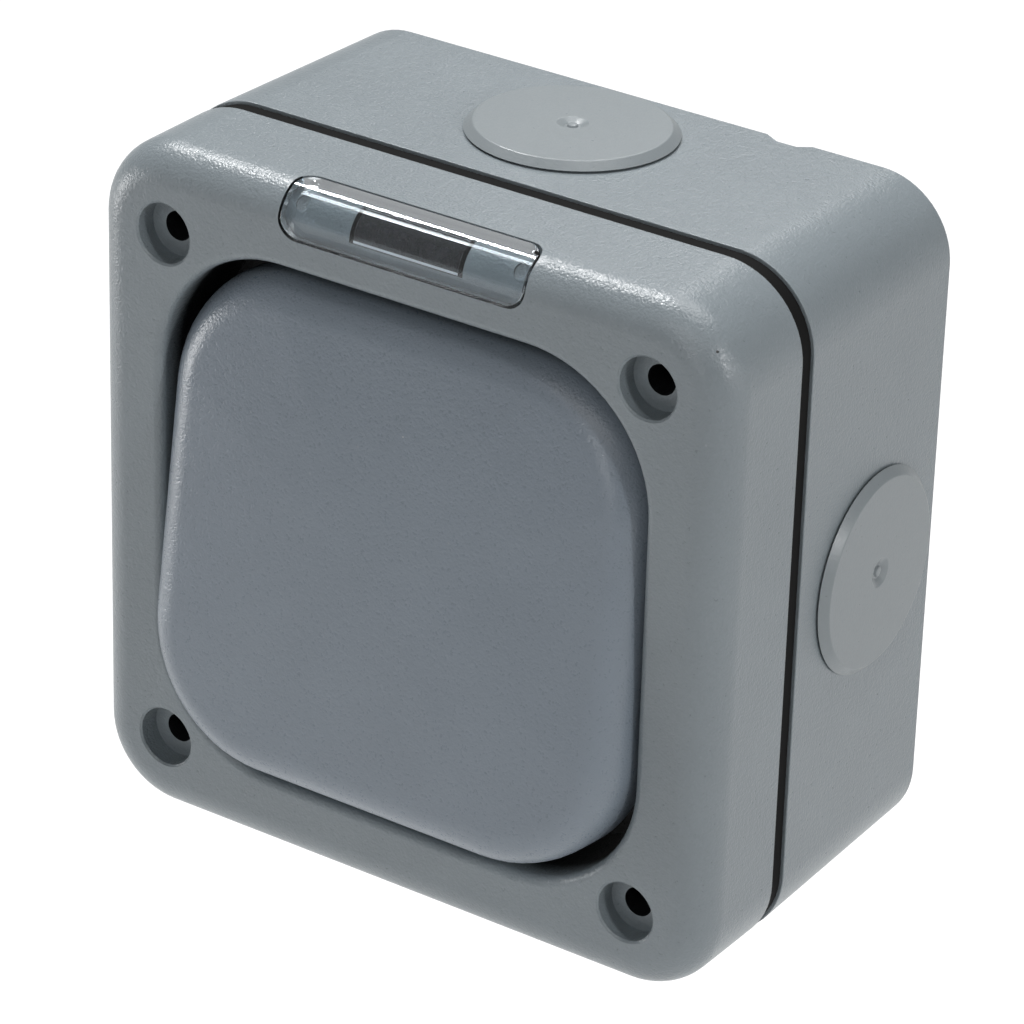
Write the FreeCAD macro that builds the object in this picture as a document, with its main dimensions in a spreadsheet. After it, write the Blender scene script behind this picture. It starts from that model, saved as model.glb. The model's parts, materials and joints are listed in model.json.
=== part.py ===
import FreeCAD, Part
import math
import os
import re
import Sketcher

# An outdoor weatherproof switch: a box for the wall, a cover with a large rocker and a two-way switch inside.
# Millimetres. X is to the right seen from the front and Z is up. The wall is at Y = 0, the front faces -Y.
# A depth is a distance from the wall, so Y = -depth. The rocker, dolly and contact have frames of their own,
# with the pivot at the origin, and are turned to where they rest: top of the rocker pressed in.

driving = {
    # enclosure
    "body_width": 88.0,
    "corner_radius": 10.5,
    "box_depth": 31.2,
    "box_draft": 0.78,  # the box is narrower by this on each side at the wall
    "wall": 2.8,
    "back_wall": 3.0,
    "seal_thickness": 2.4,
    "seal_recess": 0.4,
    "seal_overlap": 0.6,  # the seal is wider than the walls it lies on
    "cover_depth": 15.4,
    "front_wall": 2.8,
    "front_rounding": 4.8,
    # cover screws
    "screw_hole_radius": 1.85,
    "head_seat_radius": 3.75,
    "head_seat_depth": 3.0,
    "head_seat_chamfer": 0.25,
    "head_seat_land": 1.425,  # flat between the well's lip and a screw head's seat
    "post_radius": 4.2,
    "pilot_radius": 1.45,
    "pilot_depth": 14.0,
    "rib_thickness": 2.0,
    "rib_drop": 1.5,
    # wall fixing
    "fixing_spacing": 60.3,
    "fixing_radius": 2.4,
    "fixing_boss_radius": 5.0,
    "fixing_boss_height": 1.0,
    # notch in the top rear edge
    "notch_middle": 21.2,
    "notch_floor": 2.7,
    "notch_left_run": 2.2,
    "notch_right_run": 1.6,
    "notch_depth": 1.3,
    # cable entries and their plugs
    "entry_depth": 14.5,
    "entry_radius": 10.15,
    "plug_flange_radius": 12.75,
    "plug_flange_height": 1.25,
    "plug_flange_slope": 1.05,
    "plug_play": 0.15,
    "plug_skirt": 1.6,
    "plug_skirt_length": 6.5,
    "plug_barb": 0.5,
    "plug_barb_length": 1.6,
    "plug_barb_play": 0.25,
    "plug_slot": 2.4,
    "plug_slot_start": 1.0,
    "dimple_radius": 1.9,
    "dimple_depth": 0.5,
    "dimple_pip_radius": 0.7,
    "dimple_pip_height": 0.3,
    # lens over the cover's top front edge
    "lens_width": 33.6,
    "lens_thickness": 1.8,
    "lens_front_reach": 6.0,
    "lens_top_reach": 5.0,
    "lens_corner": 2.6,
    "lens_play": 0.12,
    "window_width": 15.6,
    "window_front": 5.0,  # from the top of the body down to the window's lower edge
    "window_top": 4.9,  # from the front of the body back to the window's rear edge
    "light_block_rounding": 1.4,
    "lens_pin_radius": 0.8,
    "lens_pin_offset": 15.0,
    "lens_pin_lean": 45.0,  # degrees up from straight ahead
    "lens_pin_length": 1.6,
    # well of the rocker
    "frame_width": 10.1,  # flat border between the body's side and the well
    "opening_radius": 16.75,
    "lip_rounding": 1.2,
    "well_wall": 2.2,
    "well_depth": 12.8,
    "floor_thickness": 2.4,
    # rocker and its bearings
    "rocker_side_gap": 0.5,
    "rocker_end_gap": 2.25,
    "rocker_radius": 17.0,
    "rocker_rounding": 5.5,
    "rocker_crown": 400.0,  # radius of the slightly domed face
    "rocker_thickness": 10.8,
    "rocker_wall": 2.2,
    "rocker_tilt": 8.0,
    "pivot_below_face": 9.8,
    "pivot_below_front": 5.5,
    "ear_offset": 16.8,
    "ear_thickness": 2.6,
    "ear_radius": 3.2,
    "trunnion_radius": 1.5,
    "bearing_play": 0.05,
    "lug_gap": 0.6,
    "lug_thickness": 3.0,
    "lug_radius": 3.4,
    "lug_slot": 2.6,
    "pusher_offset": 9.0,
    "pusher_width": 12.0,
    "pusher_thickness": 2.4,
    # diaphragm between rocker and dolly
    "membrane": 0.8,
    "membrane_gap": 0.3,
    "membrane_flange": 1.2,
    "membrane_margin": 3.6,
    "dome_room": 3.1,
    "dome_taper": 1.9,
    "dome_corner": 3.0,
    "dome_clear": 0.6,
    # switch module
    "plate_thickness": 2.0,
    "plate_height": 57.0,
    "module_screw_spacing": 47.0,
    "module_screw_radius": 1.4,
    "module_screw_play": 0.05,
    "module_screw_length": 7.4,
    "module_screw_head_radius": 2.9,
    "module_screw_head_height": 1.8,
    "module_hole_radius": 1.8,
    "module_boss_radius": 3.3,
    "module_boss_height": 4.0,
    "module_pilot_spare": 0.6,
    "base_width": 32.0,
    "base_height": 34.0,
    "base_wall": 3.0,
    "partition": 1.2,
    "arm_thickness": 1.4,
    "arm_height": 8.0,
    "arm_length": 6.6,
    "arm_gap": 0.1,
    "hook_depth": 0.9,
    "hook_height": 1.4,
    # dolly with its plunger
    "dolly_set": 2.6,  # pivot behind the plate's front
    "dolly_face": 8.0,
    "head_width": 17.0,
    "head_height": 21.0,
    "head_thickness": 3.5,
    "head_rounding": 1.2,
    "stem_width": 12.0,
    "stem_height": 8.0,
    "stem_reach": 5.5,
    "cheek_gap": 0.8,
    "cheek_thickness": 3.0,
    "cheek_height": 8.0,
    "cheek_drop": 3.4,
    "plunger_radius": 1.5,
    "plunger_play": 0.1,
    "plunger_gap": 0.4,
    "plunger_guide": 2.5,
    "bore_depth": 9.0,
    "spring_radius": 1.05,
    "spring_wire": 0.22,
    "spring_pitch": 1.1,
    # contacts and terminals
    "contact_drop": 10.5,  # contact's fulcrum behind the dolly's pivot
    "contact_tilt": 6.0,
    "contact_lift": 0.35,  # the strip's back in front of its fulcrum, in which it has a round saddle
    "strip_width": 6.0,
    "strip_length": 19.0,
    "strip_thickness": 0.8,
    "tip_offset": 7.5,
    "tip_radius": 1.3,
    "tip_height": 0.8,
    "tip_touch": 0.2,
    "tip_hole_play": 0.7,
    "fulcrum_radius": 0.8,
    "fulcrum_gap": 0.05,
    "block_width": 8.6,
    "block_depth": 7.6,
    "outer_block_height": 9.1,
    "middle_block_height": 5.6,
    "block_play": 0.1,
    "block_spacing": 9.25,
    "block_inset": 0.4,
    "wire_radius": 1.8,
    "wire_depth": 4.6,
    "wire_hole_play": 0.4,
    "terminal_screw_radius": 1.4,
    "terminal_screw_play": 0.05,
    "terminal_screw_head_radius": 2.4,
    "terminal_screw_head_height": 1.6,
    "screw_slot_width": 0.8,
    "screw_slot_depth": 0.7,
    # earth terminal in the box
    "earth_width": 7.0,
    "earth_height": 8.0,
    "earth_depth": 9.0,
    "earth_play": 0.1,
    "cradle_wall": 1.5,
    "cradle_depth": 4.5,
}

derived = {
    "half_body": "=body_width / 2",
    "opening_width": "=body_width - 2 * frame_width",
    "rim_depth": "=box_depth + seal_thickness",
    "front_depth": "=rim_depth + cover_depth",
    "hollow_depth": "=front_depth - front_wall",
    "draft_angle": "=atan(box_draft / box_depth)",
    "half_at_entry": "=half_body - box_draft * (1 - entry_depth / box_depth)",
    "floor_depth": "=front_depth - well_depth",
    "floor_back": "=floor_depth - floor_thickness",
    "corner_reach": "=opening_radius + lip_rounding + head_seat_land + head_seat_radius",
    "screw_half": "=opening_width / 2 - opening_radius + corner_reach / sqrt(2)",
    "seal_opening": "=body_width - 2 * wall - 2 * seal_overlap",
    "seal_waist": "=2 * (screw_half - post_radius)",
    "plug_skirt_radius": "=entry_radius - plug_play",
    "plug_barb_start": "=wall + plug_barb_play",
    "lens_low": "=half_body - lens_front_reach",
    "lens_back": "=front_depth - lens_top_reach",
    "lens_inner_rounding": "=front_rounding - lens_thickness",
    "pivot_depth": "=front_depth - pivot_below_front",
    "rocker_width": "=opening_width - 2 * rocker_side_gap",
    "rocker_height": "=opening_width - 2 * rocker_end_gap",
    "rocker_inside": "=pivot_below_face - rocker_wall",
    "rocker_open_side": "=pivot_below_face - rocker_thickness",
    "lug_offset": "=ear_offset + ear_thickness + lug_gap",
    "trunnion_end": "=lug_offset + lug_thickness",
    "module_face": "=floor_back - membrane_flange",
    "plate_back": "=module_face - plate_thickness",
    "dolly_depth": "=module_face - dolly_set",
    "pivot_span": "=pivot_depth - dolly_depth",
    "membrane_inside": "=dolly_face + membrane_gap",
    "membrane_outside": "=membrane_inside + membrane",
    "pusher_tip": "=membrane_outside + membrane_gap - pivot_span * cos(rocker_tilt)",
    "dome_foot_width": "=head_width + 2 * dome_room",
    "dome_foot_height": "=head_height + 2 * dome_room",
    "dome_top_width": "=dome_foot_width - 2 * dome_taper",
    "dome_top_height": "=dome_foot_height - 2 * dome_taper",
    "floor_opening_width": "=dome_foot_width + 2 * membrane + 2 * dome_clear",
    "floor_opening_height": "=dome_foot_height + 2 * membrane + 2 * dome_clear",
    "plate_opening_width": "=head_width + 2 * cheek_gap",
    "plate_opening_height": "=dome_foot_height",
    "cheek_outside": "=plate_opening_width / 2 + cheek_thickness",
    "contact_depth": "=dolly_depth - contact_drop",
    "tip_drop": "=tip_height - contact_lift",
    "tip_swing": "=tip_drop * cos(contact_tilt) + (tip_offset + tip_radius) * sin(contact_tilt)",
    "fixed_face": "=contact_depth - tip_swing - tip_touch",
    "cavity_floor": "=fixed_face - tip_height",
    "block_front": "=cavity_floor - partition",
    "block_back": "=block_front - block_depth",
    "base_back": "=block_back - block_inset",
    "wire_axis": "=block_front - block_depth + wire_depth",
    "strip_front": "=contact_lift + strip_thickness",
    "plunger_reach": "=contact_drop - strip_front - plunger_radius - plunger_gap",
    "spring_start": "=plunger_guide - stem_reach + spring_wire",
    "spring_end": "=bore_depth - stem_reach - spring_wire",
    "earth_front": "=back_wall + earth_depth",
    "earth_across": "=post_radius + earth_width / 2 + earth_play + cradle_wall - screw_half",
    "earth_up": "=post_radius + earth_height / 2 + earth_play + cradle_wall - screw_half",
}

doc = FreeCAD.newDocument("weatherproof_switch")
sheet = doc.addObject("Spreadsheet::Sheet", "Sizes")
aliases = {**driving, **derived}
for row, (alias, content) in enumerate(aliases.items(), start=1):
    sheet.set(f"A{row}", alias)
    sheet.set(f"B{row}", str(content))
    sheet.setAlias(f"B{row}", alias)
doc.recompute()

across = FreeCAD.Vector(1, 0, 0)
upward = FreeCAD.Vector(0, 0, 1)
pieces = []
same_place = 0.001  # two coordinates closer than this are one place


# Formulas

def with_sheet(text):
    return re.sub(r"[a-z]\w*", lambda word: f"Sizes.{word[0]}" if word[0] in aliases else word[0], text)


def number(text):
    return float(sheet.evalExpression(with_sheet(text)))


def bind(thing, path, text):
    thing.setExpression(path, with_sheet(text))


def piece(name, thing):
    thing.Label = name
    pieces.append(thing)
    return thing


# Sketches

def plane_of(body, role):
    return next(plane for plane in body.Origin.OriginFeatures if plane.Role == role)


def sketch_on(body, role, offset="0"):
    sketch = body.newObject("Sketcher::SketchObject", "Sketch")
    sketch.AttachmentSupport = (plane_of(body, role), [""])
    sketch.MapMode = "FlatFace"
    bind(sketch, "AttachmentOffset.Base.z", offset)
    return sketch


def set_size(sketch, constraint, text):
    bind(sketch, f"Constraints[{sketch.addConstraint(constraint)}]", text)


def pin_point(sketch, curve, point, x, y):
    for kind, axis, text in (("DistanceX", -2, x), ("DistanceY", -1, y)):
        if text == "0":
            sketch.addConstraint(Sketcher.Constraint("PointOnObject", curve, point, axis))
        else:
            set_size(sketch, Sketcher.Constraint(kind, -1, 1, curve, point, number(text)), text)


def polygon(sketch, corners):
    points = [FreeCAD.Vector(number(x), number(y), 0) for x, y in corners]
    first = sketch.GeometryCount
    count = len(points)
    for here, there in zip(points, points[1:] + points[:1]):
        sketch.addGeometry(Part.LineSegment(here, there))
    for side in range(count):
        joint = Sketcher.Constraint("Coincident", first + side, 2, first + (side + 1) % count, 1)
        sketch.addConstraint(joint)
    for side, (x, y) in enumerate(corners):
        pin_point(sketch, first + side, 1, x, y)


def rectangle(sketch, left, right, low, high):
    polygon(sketch, [(left, low), (right, low), (right, high), (left, high)])


def circle(sketch, x, y, radius):
    middle = FreeCAD.Vector(number(x), number(y), 0)
    curve = sketch.addGeometry(Part.Circle(middle, upward, number(radius)))
    pin_point(sketch, curve, 3, x, y)
    set_size(sketch, Sketcher.Constraint("Radius", curve, number(radius)), radius)


def rounded_rectangle(sketch, width, height, radius):
    right, top, round_off = number(width) / 2, number(height) / 2, number(radius)
    inner_x, inner_y = right - round_off, top - round_off
    sides = [((-inner_x, -top), (inner_x, -top)), ((right, -inner_y), (right, inner_y)),
             ((inner_x, top), (-inner_x, top)), ((-right, inner_y), (-right, -inner_y))]
    middles = [(inner_x, -inner_y), (inner_x, inner_y), (-inner_x, inner_y), (-inner_x, -inner_y)]
    first = sketch.GeometryCount
    for start, end in sides:
        sketch.addGeometry(Part.LineSegment(FreeCAD.Vector(*start, 0), FreeCAD.Vector(*end, 0)))
    for quarter, (x, y) in enumerate(middles):
        ring = Part.Circle(FreeCAD.Vector(x, y, 0), upward, round_off)
        start, end = math.radians(90 * quarter - 90), math.radians(90 * quarter)
        sketch.addGeometry(Part.ArcOfCircle(ring, start, end))
    for side in range(4):
        corner = first + 4 + side
        sketch.addConstraint(Sketcher.Constraint("Tangent", first + side, 2, corner, 1))
        sketch.addConstraint(Sketcher.Constraint("Tangent", corner, 2, first + (side + 1) % 4, 1))
        level = "Horizontal" if side % 2 == 0 else "Vertical"
        sketch.addConstraint(Sketcher.Constraint(level, first + side))
    for corner in range(first + 5, first + 8):
        sketch.addConstraint(Sketcher.Constraint("Equal", first + 4, corner))
    set_size(sketch, Sketcher.Constraint("Radius", first + 4, round_off), radius)
    set_size(sketch, Sketcher.Constraint("DistanceX", -1, 1, first + 1, 1, right), f"({width}) / 2")
    set_size(sketch, Sketcher.Constraint("DistanceX", -1, 1, first + 3, 1, -right), f"-({width}) / 2")
    set_size(sketch, Sketcher.Constraint("DistanceY", -1, 1, first + 2, 1, top), f"({height}) / 2")
    set_size(sketch, Sketcher.Constraint("DistanceY", -1, 1, first, 1, -top), f"-({height}) / 2")


# Features of a body

def new_body(name):
    return piece(name, doc.addObject("PartDesign::Body", name))


def pad(body, sketch, length, middle=False, backwards=False):
    feature = body.newObject("PartDesign::Pad", "Pad")
    feature.Profile = sketch
    bind(feature, "Length", length)
    feature.Midplane = middle
    feature.Reversed = backwards
    return feature


def pocket(body, sketch, length=None, middle=False, forwards=False):
    feature = body.newObject("PartDesign::Pocket", "Pocket")
    feature.Profile = sketch
    feature.Midplane = middle
    feature.Reversed = forwards
    if length is None:
        feature.Type = "ThroughAll"
    else:
        bind(feature, "Length", length)
    return feature


def loft(body, kind, start, end):
    feature = body.newObject(f"PartDesign::{kind}", "Loft")
    feature.Profile = start
    feature.Sections = [end]
    feature.Ruled = True
    return feature


def round_edges(body, radius, wanted, kind="Fillet"):
    doc.recompute()
    base = body.Tip
    edges = [f"Edge{place}" for place, edge in enumerate(base.Shape.Edges, start=1) if wanted(edge)]
    feature = body.newObject(f"PartDesign::{kind}", kind)
    feature.Base = (base, edges)
    bind(feature, "Radius" if kind == "Fillet" else "Size", radius)
    return feature


def mirror(body, features, role):
    copy = body.newObject("PartDesign::Mirrored", "Mirrored")
    copy.Originals = features
    copy.MirrorPlane = (plane_of(body, role), [""])
    body.Tip = copy
    return copy


def lies_at(edge, x=None, depth=None, z=None):
    wanted = [(0, x, 1), (1, depth, -1), (2, z, 1)]
    for axis, text, sign in wanted:
        if text is None:
            continue
        if any(abs(corner.Point[axis] - sign * number(text)) > same_place for corner in edge.Vertexes):
            return False
    return True


def either_side(edge, x=None, depth=None, z=None):
    return lies_at(edge, x, depth, z) or lies_at(edge, x and f"-({x})", depth, z)


def is_above(edge, depth):
    return all(-corner.Point.y > number(depth) + same_place for corner in edge.Vertexes)


def within(edge, half):
    return all(abs(corner.Point[axis]) < number(half) for corner in edge.Vertexes for axis in (0, 2))


# Plain solids

def block(x0, x1, near, far, z0, z1):
    solid = doc.addObject("Part::Box", "Block")
    bind(solid, "Length", f"({x1}) - ({x0})")
    bind(solid, "Width", f"({far}) - ({near})")
    bind(solid, "Height", f"({z1}) - ({z0})")
    bind(solid, "Placement.Base.x", x0)
    bind(solid, "Placement.Base.y", f"-({far})")
    bind(solid, "Placement.Base.z", z0)
    return solid


def centred_block(width, near, far, height, z="0"):
    low, high = f"{z} - ({height}) / 2", f"{z} + ({height}) / 2"
    return block(f"-({width}) / 2", f"({width}) / 2", near, far, low, high)


def rod(x, z, near, far, radius):
    solid = doc.addObject("Part::Cylinder", "Rod")
    solid.Placement = FreeCAD.Placement(FreeCAD.Vector(), FreeCAD.Rotation(across, 90))
    bind(solid, "Radius", radius)
    bind(solid, "Height", f"({far}) - ({near})")
    bind(solid, "Placement.Base.x", x)
    bind(solid, "Placement.Base.y", f"-({near})")
    bind(solid, "Placement.Base.z", z)
    return solid


def cross_rod(x0, x1, depth, z, radius):
    solid = doc.addObject("Part::Cylinder", "CrossRod")
    solid.Placement = FreeCAD.Placement(FreeCAD.Vector(), FreeCAD.Rotation(FreeCAD.Vector(0, 1, 0), 90))
    bind(solid, "Radius", radius)
    bind(solid, "Height", f"({x1}) - ({x0})")
    bind(solid, "Placement.Base.x", x0)
    bind(solid, "Placement.Base.y", f"-({depth})")
    bind(solid, "Placement.Base.z", z)
    return solid


def fuse(solids):
    union = doc.addObject("Part::MultiFuse", "Fuse")
    union.Shapes = solids
    return union


def cut(base, tools):
    difference = doc.addObject("Part::Cut", "Cut")
    difference.Base = base
    difference.Tool = tools[0] if len(tools) == 1 else fuse(tools)
    return difference


def group(name, solids):
    together = doc.addObject("Part::Compound", "Group")
    together.Links = solids
    return piece(name, together)


def turn_to_rest(solid, depth, tilt, axis):
    solid.Placement = FreeCAD.Placement(FreeCAD.Vector(), FreeCAD.Rotation(axis, number(tilt)))
    bind(solid, "Placement.Base.y", f"-({depth})")
    bind(solid, "Placement.Rotation.Angle", tilt)


corners = [(f"{x} * screw_half", f"{z} * screw_half") for x in (-1, 1) for z in (-1, 1)]
top_in = FreeCAD.Vector(-1, 0, 0)
bottom_in = FreeCAD.Vector(1, 0, 0)


# The box on the wall

def make_back_box():
    body = new_body("back_box")
    foot = sketch_on(body, "XZ_Plane")
    foot_width = "body_width - 2 * box_draft"
    rounded_rectangle(foot, foot_width, foot_width, "corner_radius - box_draft")
    rim = sketch_on(body, "XZ_Plane", "box_depth")
    rounded_rectangle(rim, "body_width", "body_width", "corner_radius")
    loft(body, "AdditiveLoft", foot, rim)
    floor = sketch_on(body, "XZ_Plane", "back_wall")
    inside = "body_width - 2 * wall"
    floor_width = f"{inside} - 2 * box_draft"
    rounded_rectangle(floor, floor_width, floor_width, "corner_radius - wall - box_draft")
    mouth = sketch_on(body, "XZ_Plane", "box_depth")
    rounded_rectangle(mouth, inside, inside, "corner_radius - wall")
    loft(body, "SubtractiveLoft", floor, mouth)

    posts = sketch_on(body, "XZ_Plane", "back_wall")
    for x, z in corners:
        circle(posts, x, z, "post_radius")
    pad(body, posts, "box_depth - back_wall")
    for flat in (True, False):
        ribs = sketch_on(body, "XZ_Plane", "back_wall")
        for along in (-1, 1):
            for side in (-1, 1):
                far_end = f"{along} * (half_body - box_draft - wall / 2)"
                ends = sorted([f"{along} * screw_half", far_end], key=number)
                sides = [f"{side} * screw_half {sign} rib_thickness / 2" for sign in "-+"]
                rectangle(ribs, *(ends + sides if flat else sides + ends))
        pad(body, ribs, "box_depth - back_wall - rib_drop")
    pilots = sketch_on(body, "XZ_Plane", "box_depth")
    for x, z in corners:
        circle(pilots, x, z, "pilot_radius")
    pocket(body, pilots, "pilot_depth")

    fixing_places = [f"{side} * fixing_spacing / 2" for side in (-1, 1)]
    bosses = sketch_on(body, "XZ_Plane", "back_wall")
    for x in fixing_places:
        circle(bosses, x, "0", "fixing_boss_radius")
    pad(body, bosses, "fixing_boss_height")
    cradle = sketch_on(body, "XZ_Plane", "back_wall")
    seat_half = "(earth_width / 2 + earth_play)"
    seat_rise = "(earth_height / 2 + earth_play)"
    rectangle(cradle, f"earth_across - {seat_half} - cradle_wall",
              f"earth_across + {seat_half} + cradle_wall",
              f"earth_up - {seat_rise} - cradle_wall", f"earth_up + {seat_rise} + cradle_wall")
    pad(body, cradle, "cradle_depth")
    seat = sketch_on(body, "XZ_Plane", "back_wall")
    rectangle(seat, f"earth_across - {seat_half}", f"earth_across + {seat_half}",
              f"earth_up - {seat_rise}", f"earth_up + {seat_rise}")
    pocket(body, seat, "cradle_depth", forwards=True)
    fixings = sketch_on(body, "XZ_Plane", "back_wall + fixing_boss_height")
    for x in fixing_places:
        circle(fixings, x, "0", "fixing_radius")
    pocket(body, fixings)

    upright_entries = sketch_on(body, "XY_Plane")
    circle(upright_entries, "0", "-entry_depth", "entry_radius")
    pocket(body, upright_entries, middle=True)
    side_entries = sketch_on(body, "YZ_Plane")
    circle(side_entries, "-entry_depth", "0", "entry_radius")
    pocket(body, side_entries, middle=True)
    notch = sketch_on(body, "XY_Plane", "half_body")
    polygon(notch, [("notch_middle - notch_floor / 2", "-notch_depth"),
                    ("notch_middle + notch_floor / 2", "-notch_depth"),
                    ("notch_middle + notch_floor / 2 + notch_right_run", "0"),
                    ("notch_middle - notch_floor / 2 - notch_left_run", "0")])
    pocket(body, notch, "box_draft + wall")


def make_lid_gasket():
    body = new_body("lid_gasket")
    band = sketch_on(body, "XZ_Plane", "box_depth")
    outside = "body_width - 2 * seal_recess"
    rounded_rectangle(band, outside, outside, "corner_radius - seal_recess")
    pad(body, band, "seal_thickness")
    for width, height in (("seal_opening", "seal_waist"), ("seal_waist", "seal_opening")):
        opening = sketch_on(body, "XZ_Plane", "rim_depth")
        rounded_rectangle(opening, width, height, "corner_radius - wall - seal_overlap")
        pocket(body, opening)
    holes = sketch_on(body, "XZ_Plane", "rim_depth")
    for x, z in corners:
        circle(holes, x, z, "screw_hole_radius")
    pocket(body, holes)


# The cover, its lens and the rocker

def lens_outline(sketch, play):
    back = f"-(lens_back - {play})"
    low = f"lens_low - {play}"
    inner_top = f"half_body - lens_thickness - {play}"
    inner_front = f"-(front_depth - lens_thickness - {play})"
    polygon(sketch, [(back, inner_top), (back, "half_body"), ("-front_depth", "half_body"),
                     ("-front_depth", low), (inner_front, low), (inner_front, inner_top)])


def lens_edges(edge, play):
    at_side = f"lens_width / 2 + {play}"
    at_front = either_side(edge, at_side, z=f"lens_low - {play}")
    return at_front or either_side(edge, at_side, f"lens_back - {play}")


def lens_pins(body, distance, radius):
    # the pins stand square to the lens's bend, at a distance from the bend's middle line
    pins = sketch_on(body, "XZ_Plane", f"front_depth - front_rounding + ({distance}) * cos(lens_pin_lean)")
    lean = FreeCAD.Rotation(-across, number("lens_pin_lean"))
    pins.AttachmentOffset = FreeCAD.Placement(FreeCAD.Vector(), lean)
    bind(pins, "AttachmentOffset.Base.y", f"half_body - front_rounding + ({distance}) * sin(lens_pin_lean)")
    bind(pins, "AttachmentOffset.Rotation.Angle", "lens_pin_lean")
    for side in (-1, 1):
        circle(pins, f"{side} * lens_pin_offset", "0", radius)
    return pins


def make_front_cover():
    body = new_body("front_cover")
    outline = sketch_on(body, "XZ_Plane", "rim_depth")
    rounded_rectangle(outline, "body_width", "body_width", "corner_radius")
    pad(body, outline, "cover_depth")
    round_edges(body, "front_rounding", lambda edge: lies_at(edge, depth="front_depth"))
    hollow = sketch_on(body, "XZ_Plane", "rim_depth")
    rounded_rectangle(hollow, "body_width - 2 * wall", "body_width - 2 * wall", "corner_radius - wall")
    pocket(body, hollow, "cover_depth - front_wall", forwards=True)
    round_edges(body, "front_rounding - wall", lambda edge: lies_at(edge, depth="hollow_depth"))
    well = sketch_on(body, "XZ_Plane", "floor_back")
    well_outside = "opening_width + 2 * well_wall"
    rounded_rectangle(well, well_outside, well_outside, "opening_radius + well_wall")
    pad(body, well, "hollow_depth - floor_back")
    bosses = sketch_on(body, "XZ_Plane", "rim_depth")
    for x, z in corners:
        circle(bosses, x, z, "post_radius")
    pad(body, bosses, "hollow_depth - rim_depth")
    opening = sketch_on(body, "XZ_Plane", "front_depth")
    rounded_rectangle(opening, "opening_width", "opening_width", "opening_radius")
    pocket(body, opening, "well_depth")
    round_edges(body, "lip_rounding",
                lambda edge: lies_at(edge, depth="front_depth")
                and within(edge, "opening_width / 2 + lip_rounding"))

    holes = sketch_on(body, "XZ_Plane", "front_depth")
    seats = sketch_on(body, "XZ_Plane", "front_depth")
    for x, z in corners:
        circle(holes, x, z, "screw_hole_radius")
        circle(seats, x, z, "head_seat_radius")
    pocket(body, holes)
    pocket(body, seats, "head_seat_depth")
    round_edges(body, "head_seat_chamfer",
                lambda edge: lies_at(edge, depth="front_depth") and edge.isClosed(), "Chamfer")

    way_in = sketch_on(body, "XZ_Plane", "floor_depth")
    rounded_rectangle(way_in, "floor_opening_width", "floor_opening_height", "dome_corner")
    pocket(body, way_in)
    lug_foot = sketch_on(body, "YZ_Plane", "lug_offset")
    rectangle(lug_foot, "-pivot_depth", "-floor_depth", "-lug_radius", "lug_radius")
    lug_eye = sketch_on(body, "YZ_Plane", "lug_offset")
    circle(lug_eye, "-pivot_depth", "0", "lug_radius")
    mirror(body, [pad(body, sketch, "lug_thickness") for sketch in (lug_foot, lug_eye)], "YZ_Plane")
    bearing = sketch_on(body, "YZ_Plane")
    circle(bearing, "-pivot_depth", "0", "trunnion_radius + bearing_play")
    lug_span = "2 * (lug_offset + lug_thickness) + lug_gap"
    pocket(body, bearing, lug_span, middle=True)
    snap = sketch_on(body, "YZ_Plane")
    rectangle(snap, "-(pivot_depth + lug_radius)", "-pivot_depth", "-lug_slot / 2", "lug_slot / 2")
    pocket(body, snap, lug_span, middle=True)

    for near, height in (("module_face", "membrane_flange"), ("floor_depth", "module_boss_height")):
        studs = sketch_on(body, "XZ_Plane", near)
        for side in (-1, 1):
            circle(studs, "0", f"{side} * module_screw_spacing / 2", "module_boss_radius")
        pad(body, studs, height)
    pilots = sketch_on(body, "XZ_Plane", "module_face")
    for side in (-1, 1):
        circle(pilots, "0", f"{side} * module_screw_spacing / 2", "module_screw_radius + module_screw_play")
    pocket(body, pilots, "module_screw_length - plate_thickness + module_pilot_spare", forwards=True)

    seat = sketch_on(body, "YZ_Plane")
    lens_outline(seat, "lens_play")
    pocket(body, seat, "lens_width + 2 * lens_play", middle=True)
    round_edges(body, "lens_corner", lambda edge: lens_edges(edge, "lens_play"))
    round_edges(body, "lens_inner_rounding - lens_play",
                lambda edge: lies_at(edge, depth="front_depth - lens_thickness - lens_play",
                                     z="half_body - lens_thickness - lens_play"))
    window = sketch_on(body, "YZ_Plane")
    rectangle(window, "-front_depth", "-(front_depth - window_top)", "half_body - window_front", "half_body")
    pocket(body, window, "window_width", middle=True)
    pin_holes = lens_pins(body, "front_rounding", "lens_pin_radius + lens_play")
    pocket(body, pin_holes, "lens_thickness + lens_pin_length + lens_play")


def make_indicator_lens():
    body = new_body("indicator_lens")
    strip = sketch_on(body, "YZ_Plane")
    lens_outline(strip, "0")
    pad(body, strip, "lens_width", middle=True)
    round_edges(body, "front_rounding", lambda edge: lies_at(edge, depth="front_depth", z="half_body"))
    round_edges(body, "lens_inner_rounding",
                lambda edge: lies_at(edge, depth="front_depth - lens_thickness",
                                     z="half_body - lens_thickness"))
    round_edges(body, "lens_corner", lambda edge: lens_edges(edge, "0"))
    light_block = sketch_on(body, "YZ_Plane")
    rectangle(light_block, "-(front_depth - lens_thickness)", "-(front_depth - window_top + lens_play)",
              "half_body - window_front + lens_play", "half_body - lens_thickness")
    pad(body, light_block, "window_width - 2 * lens_play", middle=True)
    round_edges(body, "light_block_rounding",
                lambda edge: lies_at(edge, depth="front_depth - window_top + lens_play",
                                     z="half_body - window_front + lens_play"))
    pins = lens_pins(body, "lens_inner_rounding - lens_pin_length", "lens_pin_radius")
    pad(body, pins, "lens_pin_length + lens_thickness / 2")


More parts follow.
